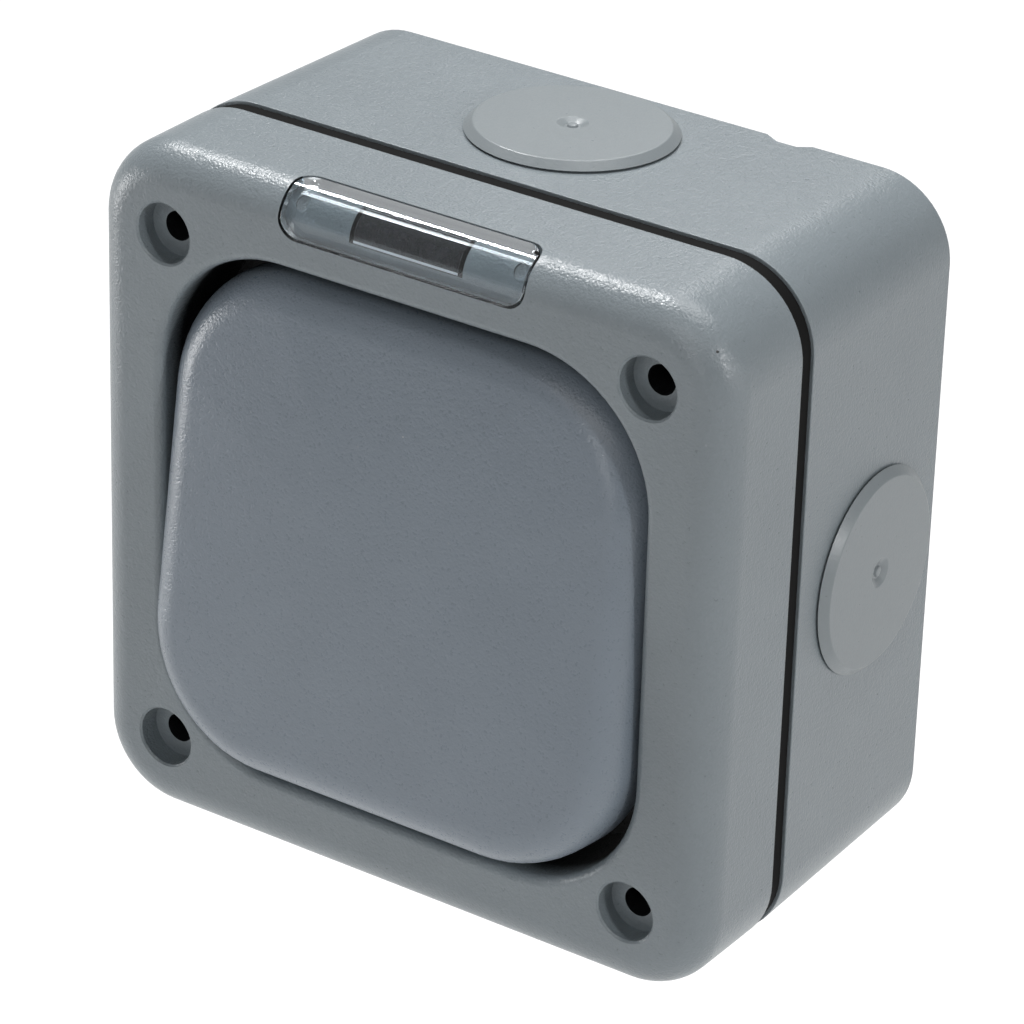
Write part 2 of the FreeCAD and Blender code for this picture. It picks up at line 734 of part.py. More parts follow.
def crown_face(body, wall):
    # the cut turns about a line across the ball's middle, which lies behind the face
    section = sketch_on(body, "XY_Plane")
    bind(section, "AttachmentOffset.Base.y", "rocker_crown - pivot_below_face")
    reach = "rocker_width / 2 + rocker_wall"
    ball = f"rocker_crown - {wall}"
    front = "rocker_crown + rocker_wall"
    half_arc = math.asin(number(reach) / number(ball))
    ring = Part.Circle(FreeCAD.Vector(), upward, number(ball))
    arc = section.addGeometry(Part.ArcOfCircle(ring, -math.pi / 2 - half_arc, -math.pi / 2 + half_arc))
    right, low, rim = number(reach), -number(front), -number(ball) * math.cos(half_arc)
    points = [FreeCAD.Vector(x, y, 0) for x, y in ((right, rim), (right, low), (-right, low), (-right, rim))]
    sides = [section.addGeometry(Part.LineSegment(here, there)) for here, there in zip(points, points[1:])]
    for here, there in zip([arc] + sides, sides + [arc]):
        section.addConstraint(Sketcher.Constraint("Coincident", here, 2, there, 1))
    section.addConstraint(Sketcher.Constraint("Coincident", arc, 3, -1, 1))
    for side, level in zip(sides, ("Vertical", "Horizontal", "Vertical")):
        section.addConstraint(Sketcher.Constraint(level, side))
    set_size(section, Sketcher.Constraint("Radius", arc, number(ball)), ball)
    set_size(section, Sketcher.Constraint("DistanceX", -1, 1, sides[0], 1, right), reach)
    set_size(section, Sketcher.Constraint("DistanceX", -1, 1, sides[2], 1, -right), f"-({reach})")
    set_size(section, Sketcher.Constraint("DistanceY", -1, 1, sides[1], 1, low), f"-({front})")
    cut_away = body.newObject("PartDesign::Groove", "Groove")
    cut_away.Profile = section
    cut_away.ReferenceAxis = (section, ["H_Axis"])
    cut_away.Midplane = True
    bind(cut_away, "Angle", "2 * asin((rocker_height / 2 + rocker_wall) / rocker_crown)")


def cushion(name, wall):
    body = doc.addObject("PartDesign::Body", name)
    outline = sketch_on(body, "XZ_Plane", "rocker_open_side")
    width, height = (f"{size} - 2 * {wall}" for size in ("rocker_width", "rocker_height"))
    rounded_rectangle(outline, width, height, f"rocker_radius - {wall}")
    pad(body, outline, f"rocker_thickness - {wall}")
    crown_face(body, wall)
    round_edges(body, f"rocker_rounding - {wall}", lambda edge: is_above(edge, "rocker_open_side"))
    return body


def make_rocker():
    shell = cut(cushion("rocker_outside", "0"), [cushion("rocker_hollow", "rocker_wall")])
    in_wall = "rocker_inside + rocker_wall / 2"
    solids = [shell]
    for side in (-1, 1):
        solids.append(centred_block("pusher_width", "pusher_tip", in_wall, "pusher_thickness",
                                    f"{side} * pusher_offset"))
        near = f"{side} * ear_offset"
        end = f"{side} * trunnion_end"
        ear = sorted([near, f"{side} * (ear_offset + ear_thickness)"], key=number)
        solids.append(block(*ear, "0", in_wall, "-ear_radius", "ear_radius"))
        solids.append(cross_rod(*ear, "0", "0", "ear_radius"))
        solids.append(cross_rod(*sorted([near, end], key=number), "0", "0", "trunnion_radius"))
    turn_to_rest(piece("rocker", fuse(solids)), "pivot_depth", "rocker_tilt", top_in)


# Push-in blanks of the cable entries

def make_entry_plug(name, quarter_turns, x, z):
    body = new_body(name)
    section = sketch_on(body, "XZ_Plane")
    inner = "plug_skirt_radius - plug_skirt"
    polygon(section, [("0", "0"), (inner, "0"), (inner, "-plug_skirt_length"),
                      ("plug_skirt_radius", "-plug_skirt_length"),
                      ("plug_skirt_radius + plug_barb", "-(plug_barb_start + plug_barb_length / 2)"),
                      ("plug_skirt_radius", "-plug_barb_start"), ("plug_skirt_radius", "0"),
                      ("plug_flange_radius", "0"),
                      ("plug_flange_radius - plug_flange_slope", "plug_flange_height"),
                      ("dimple_radius", "plug_flange_height"),
                      ("dimple_pip_radius", "plug_flange_height - dimple_depth"),
                      ("dimple_pip_radius", "plug_flange_height - dimple_depth + dimple_pip_height"),
                      ("0", "plug_flange_height - dimple_depth + dimple_pip_height")])
    turned = body.newObject("PartDesign::Revolution", "Revolution")
    turned.Profile = section
    turned.ReferenceAxis = (section, ["V_Axis"])
    turned.Angle = 360
    for role in ("XZ_Plane", "YZ_Plane"):
        slot = sketch_on(body, role)
        rectangle(slot, "-plug_slot / 2", "plug_slot / 2", "-plug_skirt_length", "-plug_slot_start")
        pocket(body, slot, middle=True)
    facing = FreeCAD.Rotation(FreeCAD.Vector(0, 1, 0), 90 * quarter_turns)
    leaning = FreeCAD.Rotation(top_in, number("draft_angle"))
    body.Placement = FreeCAD.Placement(FreeCAD.Vector(), facing.multiply(leaning))
    bind(body, "Placement.Base.x", x)
    bind(body, "Placement.Base.y", "-entry_depth")
    bind(body, "Placement.Base.z", z)


# The diaphragm and the switch module

def make_actuator_seal():
    body = new_body("actuator_seal")
    flange = sketch_on(body, "XZ_Plane", "module_face")
    rounded_rectangle(flange, "floor_opening_width + 2 * membrane_margin",
                      "floor_opening_height + 2 * membrane_margin", "dome_corner + membrane_margin")
    pad(body, flange, "membrane_flange")
    outside = ("AdditiveLoft", "module_face + membrane_flange / 2", "2 * membrane", "membrane_outside")
    inside = ("SubtractiveLoft", "module_face", "0", "membrane_inside")
    for kind, foot_depth, growth, level in (outside, inside):
        foot = sketch_on(body, "XZ_Plane", foot_depth)
        rounded_rectangle(foot, f"dome_foot_width + {growth}", f"dome_foot_height + {growth}", "dome_corner")
        top = sketch_on(body, "XZ_Plane")
        rounded_rectangle(top, f"dome_top_width + {growth}", f"dome_top_height + {growth}", "dome_corner")
        leaning = FreeCAD.Rotation(top_in, number("rocker_tilt"))
        top.AttachmentOffset = FreeCAD.Placement(FreeCAD.Vector(), leaning)
        bind(top, "AttachmentOffset.Base.y", f"{level} * sin(rocker_tilt)")
        bind(top, "AttachmentOffset.Base.z", f"dolly_depth + {level} * cos(rocker_tilt)")
        bind(top, "AttachmentOffset.Rotation.Angle", "rocker_tilt")
        loft(body, kind, foot, top)


def make_module_front():
    plate = centred_block("base_width", "plate_back", "module_face", "plate_height")
    cheeks = centred_block("2 * cheek_outside", "plate_back - cheek_drop", "plate_back", "cheek_height")
    arms = []
    hooks = []
    for side in (-1, 1):
        inner = f"{side} * (base_width / 2 + arm_gap)"
        outer = f"{side} * (base_width / 2 + arm_gap + arm_thickness)"
        ends = sorted([inner, outer], key=number)
        arms.append(block(*ends, "plate_back - arm_length", "module_face",
                          "-arm_height / 2", "arm_height / 2"))
        root = f"{side} * (base_width / 2 - arm_gap)"
        bridge = sorted([root, outer], key=number)
        arms.append(block(*bridge, "plate_back", "module_face", "-arm_height / 2", "arm_height / 2"))
        catch = sorted([f"{side} * (base_width / 2 + arm_gap - hook_depth)", outer], key=number)
        hooks.append(block(*catch, "plate_back - arm_length", "plate_back - arm_length + hook_height",
                           "-arm_height / 2", "arm_height / 2"))
    opening = centred_block("plate_opening_width", "plate_back - cheek_drop", "module_face",
                            "plate_opening_height")
    bearing = cross_rod("-cheek_outside", "cheek_outside", "dolly_depth", "0",
                        "trunnion_radius + bearing_play")
    holes = [rod("0", f"{side} * module_screw_spacing / 2", "plate_back", "module_face", "module_hole_radius")
             for side in (-1, 1)]
    piece("module_front", cut(fuse([plate, cheeks] + arms + hooks), [opening, bearing] + holes))


terminal_places = {"upper_terminal": ("block_spacing", "outer_block_height"),
                   "common_terminal": ("0", "middle_block_height"),
                   "lower_terminal": ("-block_spacing", "outer_block_height")}


def make_module_base():
    case = centred_block("base_width", "base_back", "plate_back", "base_height")
    spaces = [centred_block("base_width - 2 * base_wall", "cavity_floor", "plate_back",
                            "base_height - 2 * base_wall"),
              centred_block("strip_width + 2 * block_play", "block_front", "cavity_floor",
                            "2 * fulcrum_radius + 2 * block_play")]
    for z, height in terminal_places.values():
        spaces.append(centred_block("block_width + 2 * block_play", "base_back", "block_front",
                                    f"{height} + 2 * block_play", z))
        spaces.append(cross_rod("-base_width / 2", "base_width / 2", "wire_axis", z,
                                "wire_radius + wire_hole_play"))
    for side in (-1, 1):
        spaces.append(rod("0", f"{side} * tip_offset", "block_front", "cavity_floor",
                          "tip_radius + tip_hole_play"))
        edge = f"{side} * base_width / 2"
        depth = f"{side} * (base_width / 2 - hook_depth)"
        catch = sorted([edge, depth], key=number)
        hook_end = "plate_back - arm_length"
        spaces.append(block(*catch, f"{hook_end} - arm_gap", f"{hook_end} + hook_height + arm_gap",
                            "-arm_height / 2 - arm_gap", "arm_height / 2 + arm_gap"))
    piece("module_base", cut(case, spaces))


def slotted_screw(x, z, head, seat, tip, head_radius, radius):
    solid = fuse([rod(x, z, f"{head}", seat, head_radius), rod(x, z, seat, tip, radius)])
    slot = block(f"{x} - {head_radius}", f"{x} + {head_radius}", head, f"{head} + screw_slot_depth",
                 f"{z} - screw_slot_width / 2", f"{z} + screw_slot_width / 2")
    return cut(solid, [slot])


def make_module_screws():
    group("module_screws", [slotted_screw("0", f"{side} * module_screw_spacing / 2",
                                          "plate_back - module_screw_head_height", "plate_back",
                                          "plate_back + module_screw_length", "module_screw_head_radius",
                                          "module_screw_radius") for side in (-1, 1)])


def make_terminals():
    for name, (z, height) in terminal_places.items():
        solid = centred_block("block_width", "block_back", "block_front", height, z)
        if name == "common_terminal":
            ridge = centred_block("strip_width", "block_front", "contact_depth", "2 * fulcrum_radius")
            fulcrum = cross_rod("-strip_width / 2", "strip_width / 2", "contact_depth", "0", "fulcrum_radius")
            solid = fuse([solid, ridge, fulcrum])
        wire_way = cross_rod("-block_width / 2", "block_width / 2", "wire_axis", z, "wire_radius")
        thread = rod("0", z, "block_back", "wire_axis", "terminal_screw_radius + terminal_screw_play")
        piece(name, cut(solid, [wire_way, thread]))
    group("terminal_screws", [slotted_screw("0", z, "block_back - terminal_screw_head_height", "block_back",
                                            "wire_axis - wire_radius", "terminal_screw_head_radius",
                                            "terminal_screw_radius") for z, _ in terminal_places.values()])
    group("fixed_contact_tips", [rod("0", f"{side} * tip_offset", "block_front", "fixed_face", "tip_radius")
                                 for side in (-1, 1)])


# The moving pieces of the module

def make_dolly():
    body = new_body("dolly")
    head = sketch_on(body, "XZ_Plane", "dolly_face - head_thickness")
    rectangle(head, "-head_width / 2", "head_width / 2", "-head_height / 2", "head_height / 2")
    pad(body, head, "head_thickness")
    round_edges(body, "head_rounding", lambda edge: lies_at(edge, depth="dolly_face"))
    stem = sketch_on(body, "XZ_Plane", "-stem_reach")
    rectangle(stem, "-stem_width / 2", "stem_width / 2", "-stem_height / 2", "stem_height / 2")
    pad(body, stem, "stem_reach + dolly_face - head_thickness")
    trunnions = sketch_on(body, "YZ_Plane")
    circle(trunnions, "0", "0", "trunnion_radius")
    pad(body, trunnions, "2 * (cheek_outside - cheek_gap)", middle=True)
    bore = sketch_on(body, "XZ_Plane", "-stem_reach")
    circle(bore, "0", "0", "plunger_radius + plunger_play")
    pocket(body, bore, "bore_depth", forwards=True)
    turn_to_rest(body, "dolly_depth", "rocker_tilt", top_in)


def make_plunger():
    body = new_body("plunger")
    section = sketch_on(body, "XZ_Plane", "-plunger_reach")
    circle(section, "0", "0", "plunger_radius")
    pad(body, section, "plunger_reach - stem_reach + plunger_guide")
    ball = body.newObject("PartDesign::AdditiveSphere", "Nose")
    ball.AttachmentSupport = (plane_of(body, "XZ_Plane"), [""])
    ball.MapMode = "FlatFace"
    bind(ball, "AttachmentOffset.Base.z", "-plunger_reach")
    bind(ball, "Radius", "plunger_radius")
    turn_to_rest(body, "dolly_depth", "rocker_tilt", top_in)


def make_plunger_spring():
    body = new_body("plunger_spring")
    wire = sketch_on(body, "YZ_Plane")
    circle(wire, "-spring_start", "spring_radius", "spring_wire")
    coil = body.newObject("PartDesign::AdditiveHelix", "Coil")
    coil.Profile = wire
    coil.ReferenceAxis = (wire, ["H_Axis"])
    coil.Mode = "pitch-height-angle"
    bind(coil, "Pitch", "spring_pitch")
    bind(coil, "Height", "spring_end - spring_start")
    coil.Reversed = True
    turn_to_rest(body, "dolly_depth", "rocker_tilt", top_in)


def make_moving_contact():
    blank = centred_block("strip_width", "contact_lift", "strip_front", "strip_length")
    saddle = cross_rod("-strip_width / 2", "strip_width / 2", "0", "0", "fulcrum_radius + fulcrum_gap")
    strip = piece("moving_contact", cut(blank, [saddle]))
    tips = group("moving_contact_tips", [rod("0", f"{side} * tip_offset", "-tip_drop", "contact_lift",
                                             "tip_radius") for side in (-1, 1)])
    for solid in (strip, tips):
        turn_to_rest(solid, "contact_depth", "contact_tilt", bottom_in)


def make_earth_terminal():
    x, z = "earth_across", "earth_up"
    left, right = (f"{x} {sign} earth_width / 2" for sign in "-+")
    low, high = (f"{z} {sign} earth_height / 2" for sign in "-+")
    axis = "back_wall + earth_depth / 2"
    head_top = "earth_front + terminal_screw_head_height"
    solid = block(left, right, "back_wall", "earth_front", low, high)
    wire_way = cross_rod(left, right, axis, z, "wire_radius")
    thread = rod(x, z, axis, "earth_front", "terminal_screw_radius + terminal_screw_play")
    piece("earth_terminal", cut(solid, [wire_way, thread]))
    screw = fuse([rod(x, z, f"{axis} + wire_radius", "earth_front", "terminal_screw_radius"),
                  rod(x, z, "earth_front", head_top, "terminal_screw_head_radius")])
    slot = block(f"{x} - terminal_screw_head_radius", f"{x} + terminal_screw_head_radius",
                 f"{head_top} - screw_slot_depth", head_top,
                 f"{z} - screw_slot_width / 2", f"{z} + screw_slot_width / 2")
    piece("earth_screw", cut(screw, [slot]))


make_back_box()
make_lid_gasket()
make_front_cover()
make_indicator_lens()
make_rocker()
make_entry_plug("entry_plug_top", 0, "0", "half_at_entry")
make_entry_plug("entry_plug_right", 1, "half_at_entry", "0")
make_entry_plug("entry_plug_bottom", 2, "0", "-half_at_entry")
make_entry_plug("entry_plug_left", 3, "-half_at_entry", "0")
make_actuator_seal()
make_module_front()
make_module_base()
make_module_screws()
make_terminals()
make_dolly()
make_plunger()
make_plunger_spring()
make_moving_contact()
make_earth_terminal()
doc.recompute()

failed = [thing.Label for thing in doc.Objects if {"Invalid", "Error"} & set(thing.State)]
failed += [thing.Label for thing in pieces if thing.Shape.isNull() or not thing.Shape.isValid()]
if failed:
    raise RuntimeError("these did not build: " + ", ".join(failed))

os.makedirs("parts", exist_ok=True)
for thing in pieces:
    thing.Shape.exportStep(os.path.join("parts", thing.Label + ".step"))
    print(thing.Label, len(thing.Shape.Solids), round(thing.Shape.Volume, 1))
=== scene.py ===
import json
import math

import bmesh
import bpy
from mathutils import Matrix, Vector


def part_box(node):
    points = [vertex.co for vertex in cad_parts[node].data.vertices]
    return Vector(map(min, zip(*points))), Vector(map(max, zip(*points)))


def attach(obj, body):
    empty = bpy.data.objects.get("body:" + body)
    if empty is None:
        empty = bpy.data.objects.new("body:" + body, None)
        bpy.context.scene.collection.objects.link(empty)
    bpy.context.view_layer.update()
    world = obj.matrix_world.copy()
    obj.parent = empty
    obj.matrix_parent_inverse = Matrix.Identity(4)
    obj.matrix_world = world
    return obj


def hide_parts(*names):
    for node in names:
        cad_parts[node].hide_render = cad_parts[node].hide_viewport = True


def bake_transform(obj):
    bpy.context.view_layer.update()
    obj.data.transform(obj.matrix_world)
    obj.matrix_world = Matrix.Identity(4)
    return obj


# An outdoor weatherproof rocker switch for a wall. Sizes are millimetres and become metres when a mesh is made.
# A depth is the distance from the wall, so the front of the switch has the largest depth.

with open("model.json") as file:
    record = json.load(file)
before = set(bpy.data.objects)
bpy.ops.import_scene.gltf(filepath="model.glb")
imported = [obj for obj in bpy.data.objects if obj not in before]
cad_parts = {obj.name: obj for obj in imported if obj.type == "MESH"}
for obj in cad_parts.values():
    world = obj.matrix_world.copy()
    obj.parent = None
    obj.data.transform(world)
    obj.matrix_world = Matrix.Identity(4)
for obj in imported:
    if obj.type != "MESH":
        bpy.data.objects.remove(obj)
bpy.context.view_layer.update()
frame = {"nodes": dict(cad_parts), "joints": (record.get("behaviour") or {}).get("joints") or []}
pivotDepth = {joint["name"]: -1000 * joint["pos_m"][1] for joint in frame["joints"]}
restTilt = math.radians(sum(frame["joints"][0]["range_deg"]) / 2)
print("frame loaded")


class Wire:
    def __init__(self, tree, socket):
        self.tree = tree
        self.socket = socket

    def math(self, operation, first, second):
        return self.tree.add("ShaderNodeMath", {"operation": operation}, {0: first, 1: second})

    def __add__(self, other):
        return self.math("ADD", self, other)

    def __radd__(self, other):
        return self.math("ADD", other, self)

    def __sub__(self, other):
        return self.math("SUBTRACT", self, other)

    def __rsub__(self, other):
        return self.math("SUBTRACT", other, self)

    def __mul__(self, other):
        return self.math("MULTIPLY", self, other)

    def __rmul__(self, other):
        return self.math("MULTIPLY", other, self)

    def __lt__(self, other):
        return self.math("LESS_THAN", self, other)

    def __gt__(self, other):
        return self.math("GREATER_THAN", self, other)


class Tree:
    def __init__(self, nodeTree):
        self.nodes = nodeTree.nodes
        self.links = nodeTree.links

    def add(self, kind, settings=None, inputs=None, out=0):
        node = self.nodes.new(kind)
        for name, value in (settings or {}).items():
            setattr(node, name, value)
        for key, value in (inputs or {}).items():
            if isinstance(value, Wire):
                self.links.new(value.socket, node.inputs[key])
            else:
                node.inputs[key].default_value = value
        return Wire(self, node.outputs[out]) if len(node.outputs) else node


# Finishes. Each is a procedural material on object coordinates or on the piece's own attribute, with its numbers
# in one dictionary. The attributes carry painted shade and painted highlights. Relief is the height of the grain
# in metres.

def startMaterial(name):
    material = bpy.data.materials.new(name)
    material.use_nodes = True
    material.node_tree.nodes.clear()
    return material, Tree(material.node_tree)


def objectPlace(tree):
    return tree.add("ShaderNodeTexCoord", out="Object")


def noise(tree, place, scale, detail):
    return tree.add("ShaderNodeTexNoise", None, {"Vector": place, "Scale": scale, "Detail": detail})


def mixColours(tree, share, first, second):
    return tree.add("ShaderNodeMix", {"data_type": "RGBA"}, {0: share, 6: first, 7: second}, 2)


def attribute(tree, name):
    return tree.add("ShaderNodeAttribute", {"attribute_name": name}, None, "Fac")


def bumped(tree, finish, height):
    return tree.add("ShaderNodeBump", None, {"Strength": finish["bump"], "Distance": finish["relief"],
                                             "Height": height})


def closeMaterial(tree, inputs):
    surface = tree.add("ShaderNodeBsdfPrincipled", None, inputs)
    tree.add("ShaderNodeOutputMaterial", None, {"Surface": surface})


def mouldedPlastic(name, finish):
    material, tree = startMaterial(name)
    place = objectPlace(tree)
    fine = noise(tree, place, finish["fineScale"], detail=1.0)
    coarse = noise(tree, place, finish["coarseScale"], detail=1.0)
    grain = fine * finish["fineShare"] + coarse * (1 - finish["fineShare"])
    cloud = noise(tree, place, finish["cloudScale"], detail=2.0)
    cells = tree.add("ShaderNodeTexVoronoi", None, {"Vector": place, "Scale": finish["dustScale"]}, "Distance")
    spread = finish["cloudSpread"]
    share = cloud * spread + (grain - 0.5) * finish["speckle"] + (1 - spread) / 2
    tint = mixColours(tree, share, finish["dark"], finish["light"])
    dusty = mixColours(tree, (cells < finish["dustSize"]) * finish["dustShare"], tint, finish["dust"])
    for spot, size, tone in finish["marks"]:
        away = tree.add("ShaderNodeVectorMath", {"operation": "DISTANCE"}, {0: place, 1: spot}, "Value")
        dusty = mixColours(tree, away < size, dusty, tone)
    # Painted shade: faces that the cover marks take a near-black tone in the well round the rocker, in the screw
    # holes and on the walls of the lens seat and window.
    colour = mixColours(tree, attribute(tree, "paintedShade"), dusty, finish["paintedShadeTint"])
    roughness = finish["roughness"] + (grain - 0.5) * finish["roughSpread"]
    closeMaterial(tree, {"Base Color": colour, "Roughness": roughness, "Normal": bumped(tree, finish, grain),
                         "Specular IOR Level": finish["specular"]})
    return material


def softRubber(name, finish):
    material, tree = startMaterial(name)
    place = objectPlace(tree)
    bloom = noise(tree, place, finish["bloomScale"], detail=3.0)
    grain = noise(tree, place, finish["grainScale"], detail=2.0)
    colour = mixColours(tree, bloom, finish["dark"], finish["light"])
    roughness = finish["roughness"] + bloom * finish["roughSpread"]
    closeMaterial(tree, {"Base Color": colour, "Roughness": roughness, "Normal": bumped(tree, finish, grain),
                         "Specular IOR Level": finish["specular"]})
    return material


def clearPlastic(name, finish):
    material, tree = startMaterial(name)
    haze = noise(tree, objectPlace(tree), finish["hazeScale"], detail=2.0)
    # Painted shade: the lens's outermost edge faces take a dark tone.
    colour = mixColours(tree, attribute(tree, "rim"), finish["tint"], finish["paintedEdgeTint"])
    roughness = finish["roughness"] + haze * finish["roughSpread"]
    closeMaterial(tree, {"Base Color": colour, "Roughness": roughness, "IOR": finish["ior"],
                         "Transmission Weight": 1.0})
    return material


# A dark glossy plastic. On the light block its darkness is painted shade of the dark space behind the window.
def darkGlossPlastic(name, finish):
    material, tree = startMaterial(name)
    cloud = noise(tree, objectPlace(tree), finish["cloudScale"], detail=3.0)
    tint = mixColours(tree, cloud, finish["dark"], finish["light"])
    # Painted highlight: the light block's edge faces take a pale tone.
    colour = mixColours(tree, attribute(tree, "rim"), tint, finish["paintedEdgeTint"])
    roughness = finish["roughness"] + cloud * finish["roughSpread"]
    closeMaterial(tree, {"Base Color": colour, "Roughness": roughness, "Specular IOR Level": finish["specular"]})
    return material


def workedMetal(name, finish):
    material, tree = startMaterial(name)
    place = objectPlace(tree)
    lines = tree.add("ShaderNodeMapping", None, {"Vector": place, "Scale": finish["lineStretch"]})
    brushed = noise(tree, lines, finish["lineScale"], detail=3.0)
    stain = noise(tree, place, finish["stainScale"], detail=3.0)
    colour = mixColours(tree, stain, finish["dark"], finish["light"])
    roughness = finish["roughness"] + (brushed - 0.5) * finish["roughSpread"]
    closeMaterial(tree, {"Base Color": colour, "Metallic": 1.0, "Roughness": roughness,
                         "Normal": bumped(tree, finish, brushed)})
    return material


# The near-black tone in this dictionary is the painted shade in the cover's well, screw holes and lens seat.
greyFinish = {"fineScale": 3300.0, "coarseScale": 1300.0, "fineShare": 0.6, "cloudScale": 70.0,
              "cloudSpread": 0.5, "dustScale": 130.0, "speckle": 0.6, "dustSize": 0.02, "dustShare": 0.12,
              "dark": (0.156, 0.181, 0.197, 1), "light": (0.212, 0.243, 0.261, 1),
              "dust": (0.50, 0.52, 0.53, 1), "paintedShadeTint": (0.008, 0.009, 0.010, 1), "marks": (),
              "roughness": 0.33, "roughSpread": 0.3, "bump": 0.6, "relief": 0.00020, "specular": 0.5}
metalFinish = {"roughSpread": 0.2, "relief": 0.00002}

# A mark is a small round spot: its place and its radius in metres, and its tone

pitMark = ((0.04102, -0.04699, 0.03946), 0.00016, (0.004, 0.004, 0.004, 1))
nickMark = ((0.00193, -0.05025, 0.01857), 0.00010, (0.34, 0.36, 0.39, 1))
enclosureGrey = mouldedPlastic("enclosureGrey", {**greyFinish, "marks": (pitMark,)})
rockerGrey = mouldedPlastic("rockerGrey", {**greyFinish, "dark": (0.152, 0.180, 0.212, 1),
                                           "light": (0.203, 0.238, 0.277, 1), "roughness": 0.31, "bump": 0.45,
                                           "speckle": 0.3, "marks": (nickMark,)})
plugGrey = mouldedPlastic("plugGrey", {**greyFinish, "dark": (0.190, 0.214, 0.226, 1),
                                       "light": (0.212, 0.236, 0.248, 1), "roughness": 0.34, "bump": 0.15})
moduleCream = mouldedPlastic("moduleCream", {**greyFinish, "dark": (0.62, 0.59, 0.52, 1),
                                             "light": (0.68, 0.65, 0.58, 1), "roughness": 0.33, "bump": 0.05})
dollyWhite = mouldedPlastic("dollyWhite", {**greyFinish, "dark": (0.70, 0.70, 0.67, 1),
                                           "light": (0.76, 0.76, 0.73, 1), "roughness": 0.26, "bump": 0.03})
sealBlack = softRubber("sealBlack", {"bloomScale": 240.0, "grainScale": 3000.0, "bump": 0.2, "relief": 0.00003,
                                     "roughness": 0.7, "roughSpread": 0.15, "specular": 0.08,
                                     "dark": (0.005, 0.005, 0.005, 1), "light": (0.009, 0.009, 0.009, 1)})
# The light block belongs to the clear lens but is drawn dark and glossy as painted shade of the space behind the
# window, with a pale tone on its edges as painted highlights.
blockPaintedDark = darkGlossPlastic("blockPaintedDark", {"cloudScale": 900.0, "roughness": 0.02, "roughSpread": 0.02,
                                          "specular": 0.6, "paintedEdgeTint": (0.60, 0.63, 0.66, 1),
                                          "dark": (0.010, 0.010, 0.012, 1), "light": (0.024, 0.024, 0.028, 1)})
# The lens's dark edge tone is painted shade.
lensClear = clearPlastic("lensClear", {"hazeScale": 500.0, "tint": (0.91, 0.965, 1.0, 1), "roughness": 0.015,
                                       "roughSpread": 0.03, "paintedEdgeTint": (0.04, 0.045, 0.05, 1), "ior": 1.49})
terminalBrass = workedMetal("terminalBrass", {**metalFinish, "lineStretch": (1, 12, 1),
                                              "lineScale": 900.0, "stainScale": 300.0,
                                              "dark": (0.56, 0.37, 0.13, 1), "light": (0.78, 0.57, 0.24, 1),
                                              "roughness": 0.3, "bump": 0.15})
contactSilver = workedMetal("contactSilver", {**metalFinish, "lineStretch": (1, 1, 1),
                                              "lineScale": 2500.0, "stainScale": 700.0,
                                              "dark": (0.72, 0.71, 0.69, 1), "light": (0.9, 0.89, 0.87, 1),
                                              "roughness": 0.28, "bump": 0.1})
platedSteel = workedMetal("platedSteel", {**metalFinish, "lineStretch": (1, 8, 1),
                                          "lineScale": 1200.0, "stainScale": 400.0,
                                          "dark": (0.45, 0.46, 0.48, 1), "light": (0.66, 0.67, 0.68, 1),
                                          "roughness": 0.27, "bump": 0.12})
print("finishes made")


# Building meshes. A solid that joins another sinks into it by the overlap, and a cutter passes the surface by the
# overshoot.

overlap = 0.5
overshoot = 1.0


def point(x, depth, z):
    return Vector((x, -depth, z)) / 1000


def alongX(u, v, level):
    return point(level, u, v)


def alongDepth(u, v, level):
    return point(u, level, v)


def upwards(u, v, level):
    return point(u, v, level)


def arc(middleU, middleV, radius, start, end, steps):
    turns = [math.radians(start + (end - start) * step / steps) for step in range(steps + 1)]
    return [(middleU + radius * math.cos(turn), middleV + radius * math.sin(turn)) for turn in turns]


def circle(radius, u=0, v=0, steps=48):
    return arc(u, v, radius, 0, 360, steps)[:-1]


def outline(halfWide, halfTall, radius, steps=16):
    corners = ((1, 1), (-1, 1), (-1, -1), (1, -1))
    points = []
    for quarter, (signX, signZ) in enumerate(corners):
        middleX = signX * (halfWide - radius)
        middleZ = signZ * (halfTall - radius)
        points += arc(middleX, middleZ, radius, 90 * quarter, 90 * quarter + 90, steps)
    return points


def ring(halfWide, halfTall, radius, depth):
    return [point(x, depth, z) for x, z in outline(halfWide, halfTall, radius)]


def newPiece(name, mesh):
    bmesh.ops.remove_doubles(mesh, verts=mesh.verts, dist=1e-7)
    bmesh.ops.recalc_face_normals(mesh, faces=mesh.faces)
    data = bpy.data.meshes.new(name)
    mesh.to_mesh(data)
    mesh.free()
    piece = bpy.data.objects.new(name, data)
    bpy.context.scene.collection.objects.link(piece)
    return piece


def loft(name, rings, loop=False):
    mesh = bmesh.new()
    loops = [[mesh.verts.new(place) for place in places] for places in rings]
    following = loops[1:] + loops[:1] if loop else loops[1:]
    for low, high in zip(loops, following):
        for here in range(len(low)):
            mesh.faces.new((low[here - 1], low[here], high[here], high[here - 1]))
    if not loop:
        mesh.faces.new(loops[0])
        mesh.faces.new(loops[-1])
    return newPiece(name, mesh)


def prism(name, corners, low, high, place):
    return loft(name, [[place(u, v, level) for u, v in corners] for level in (low, high)])


def block(name, lowX, highX, back, front, lowZ, highZ):
    corners = ((lowX, lowZ), (highX, lowZ), (highX, highZ), (lowX, highZ))
    return prism(name, corners, back, front, alongDepth)


def lathe(name, profile, steps=64):
    return loft(name, [[point(x, depth, z) for x, z in circle(radius, steps=steps)]
                       for radius, depth in profile])


def settle(piece):
    graph = bpy.context.evaluated_depsgraph_get()
    old = piece.data
    ready = piece.evaluated_get(graph)
    data = bpy.data.meshes.new_from_object(ready, preserve_all_data_layers=True, depsgraph=graph)
    piece.modifiers.clear()
    piece.data = data
    bpy.data.meshes.remove(old)


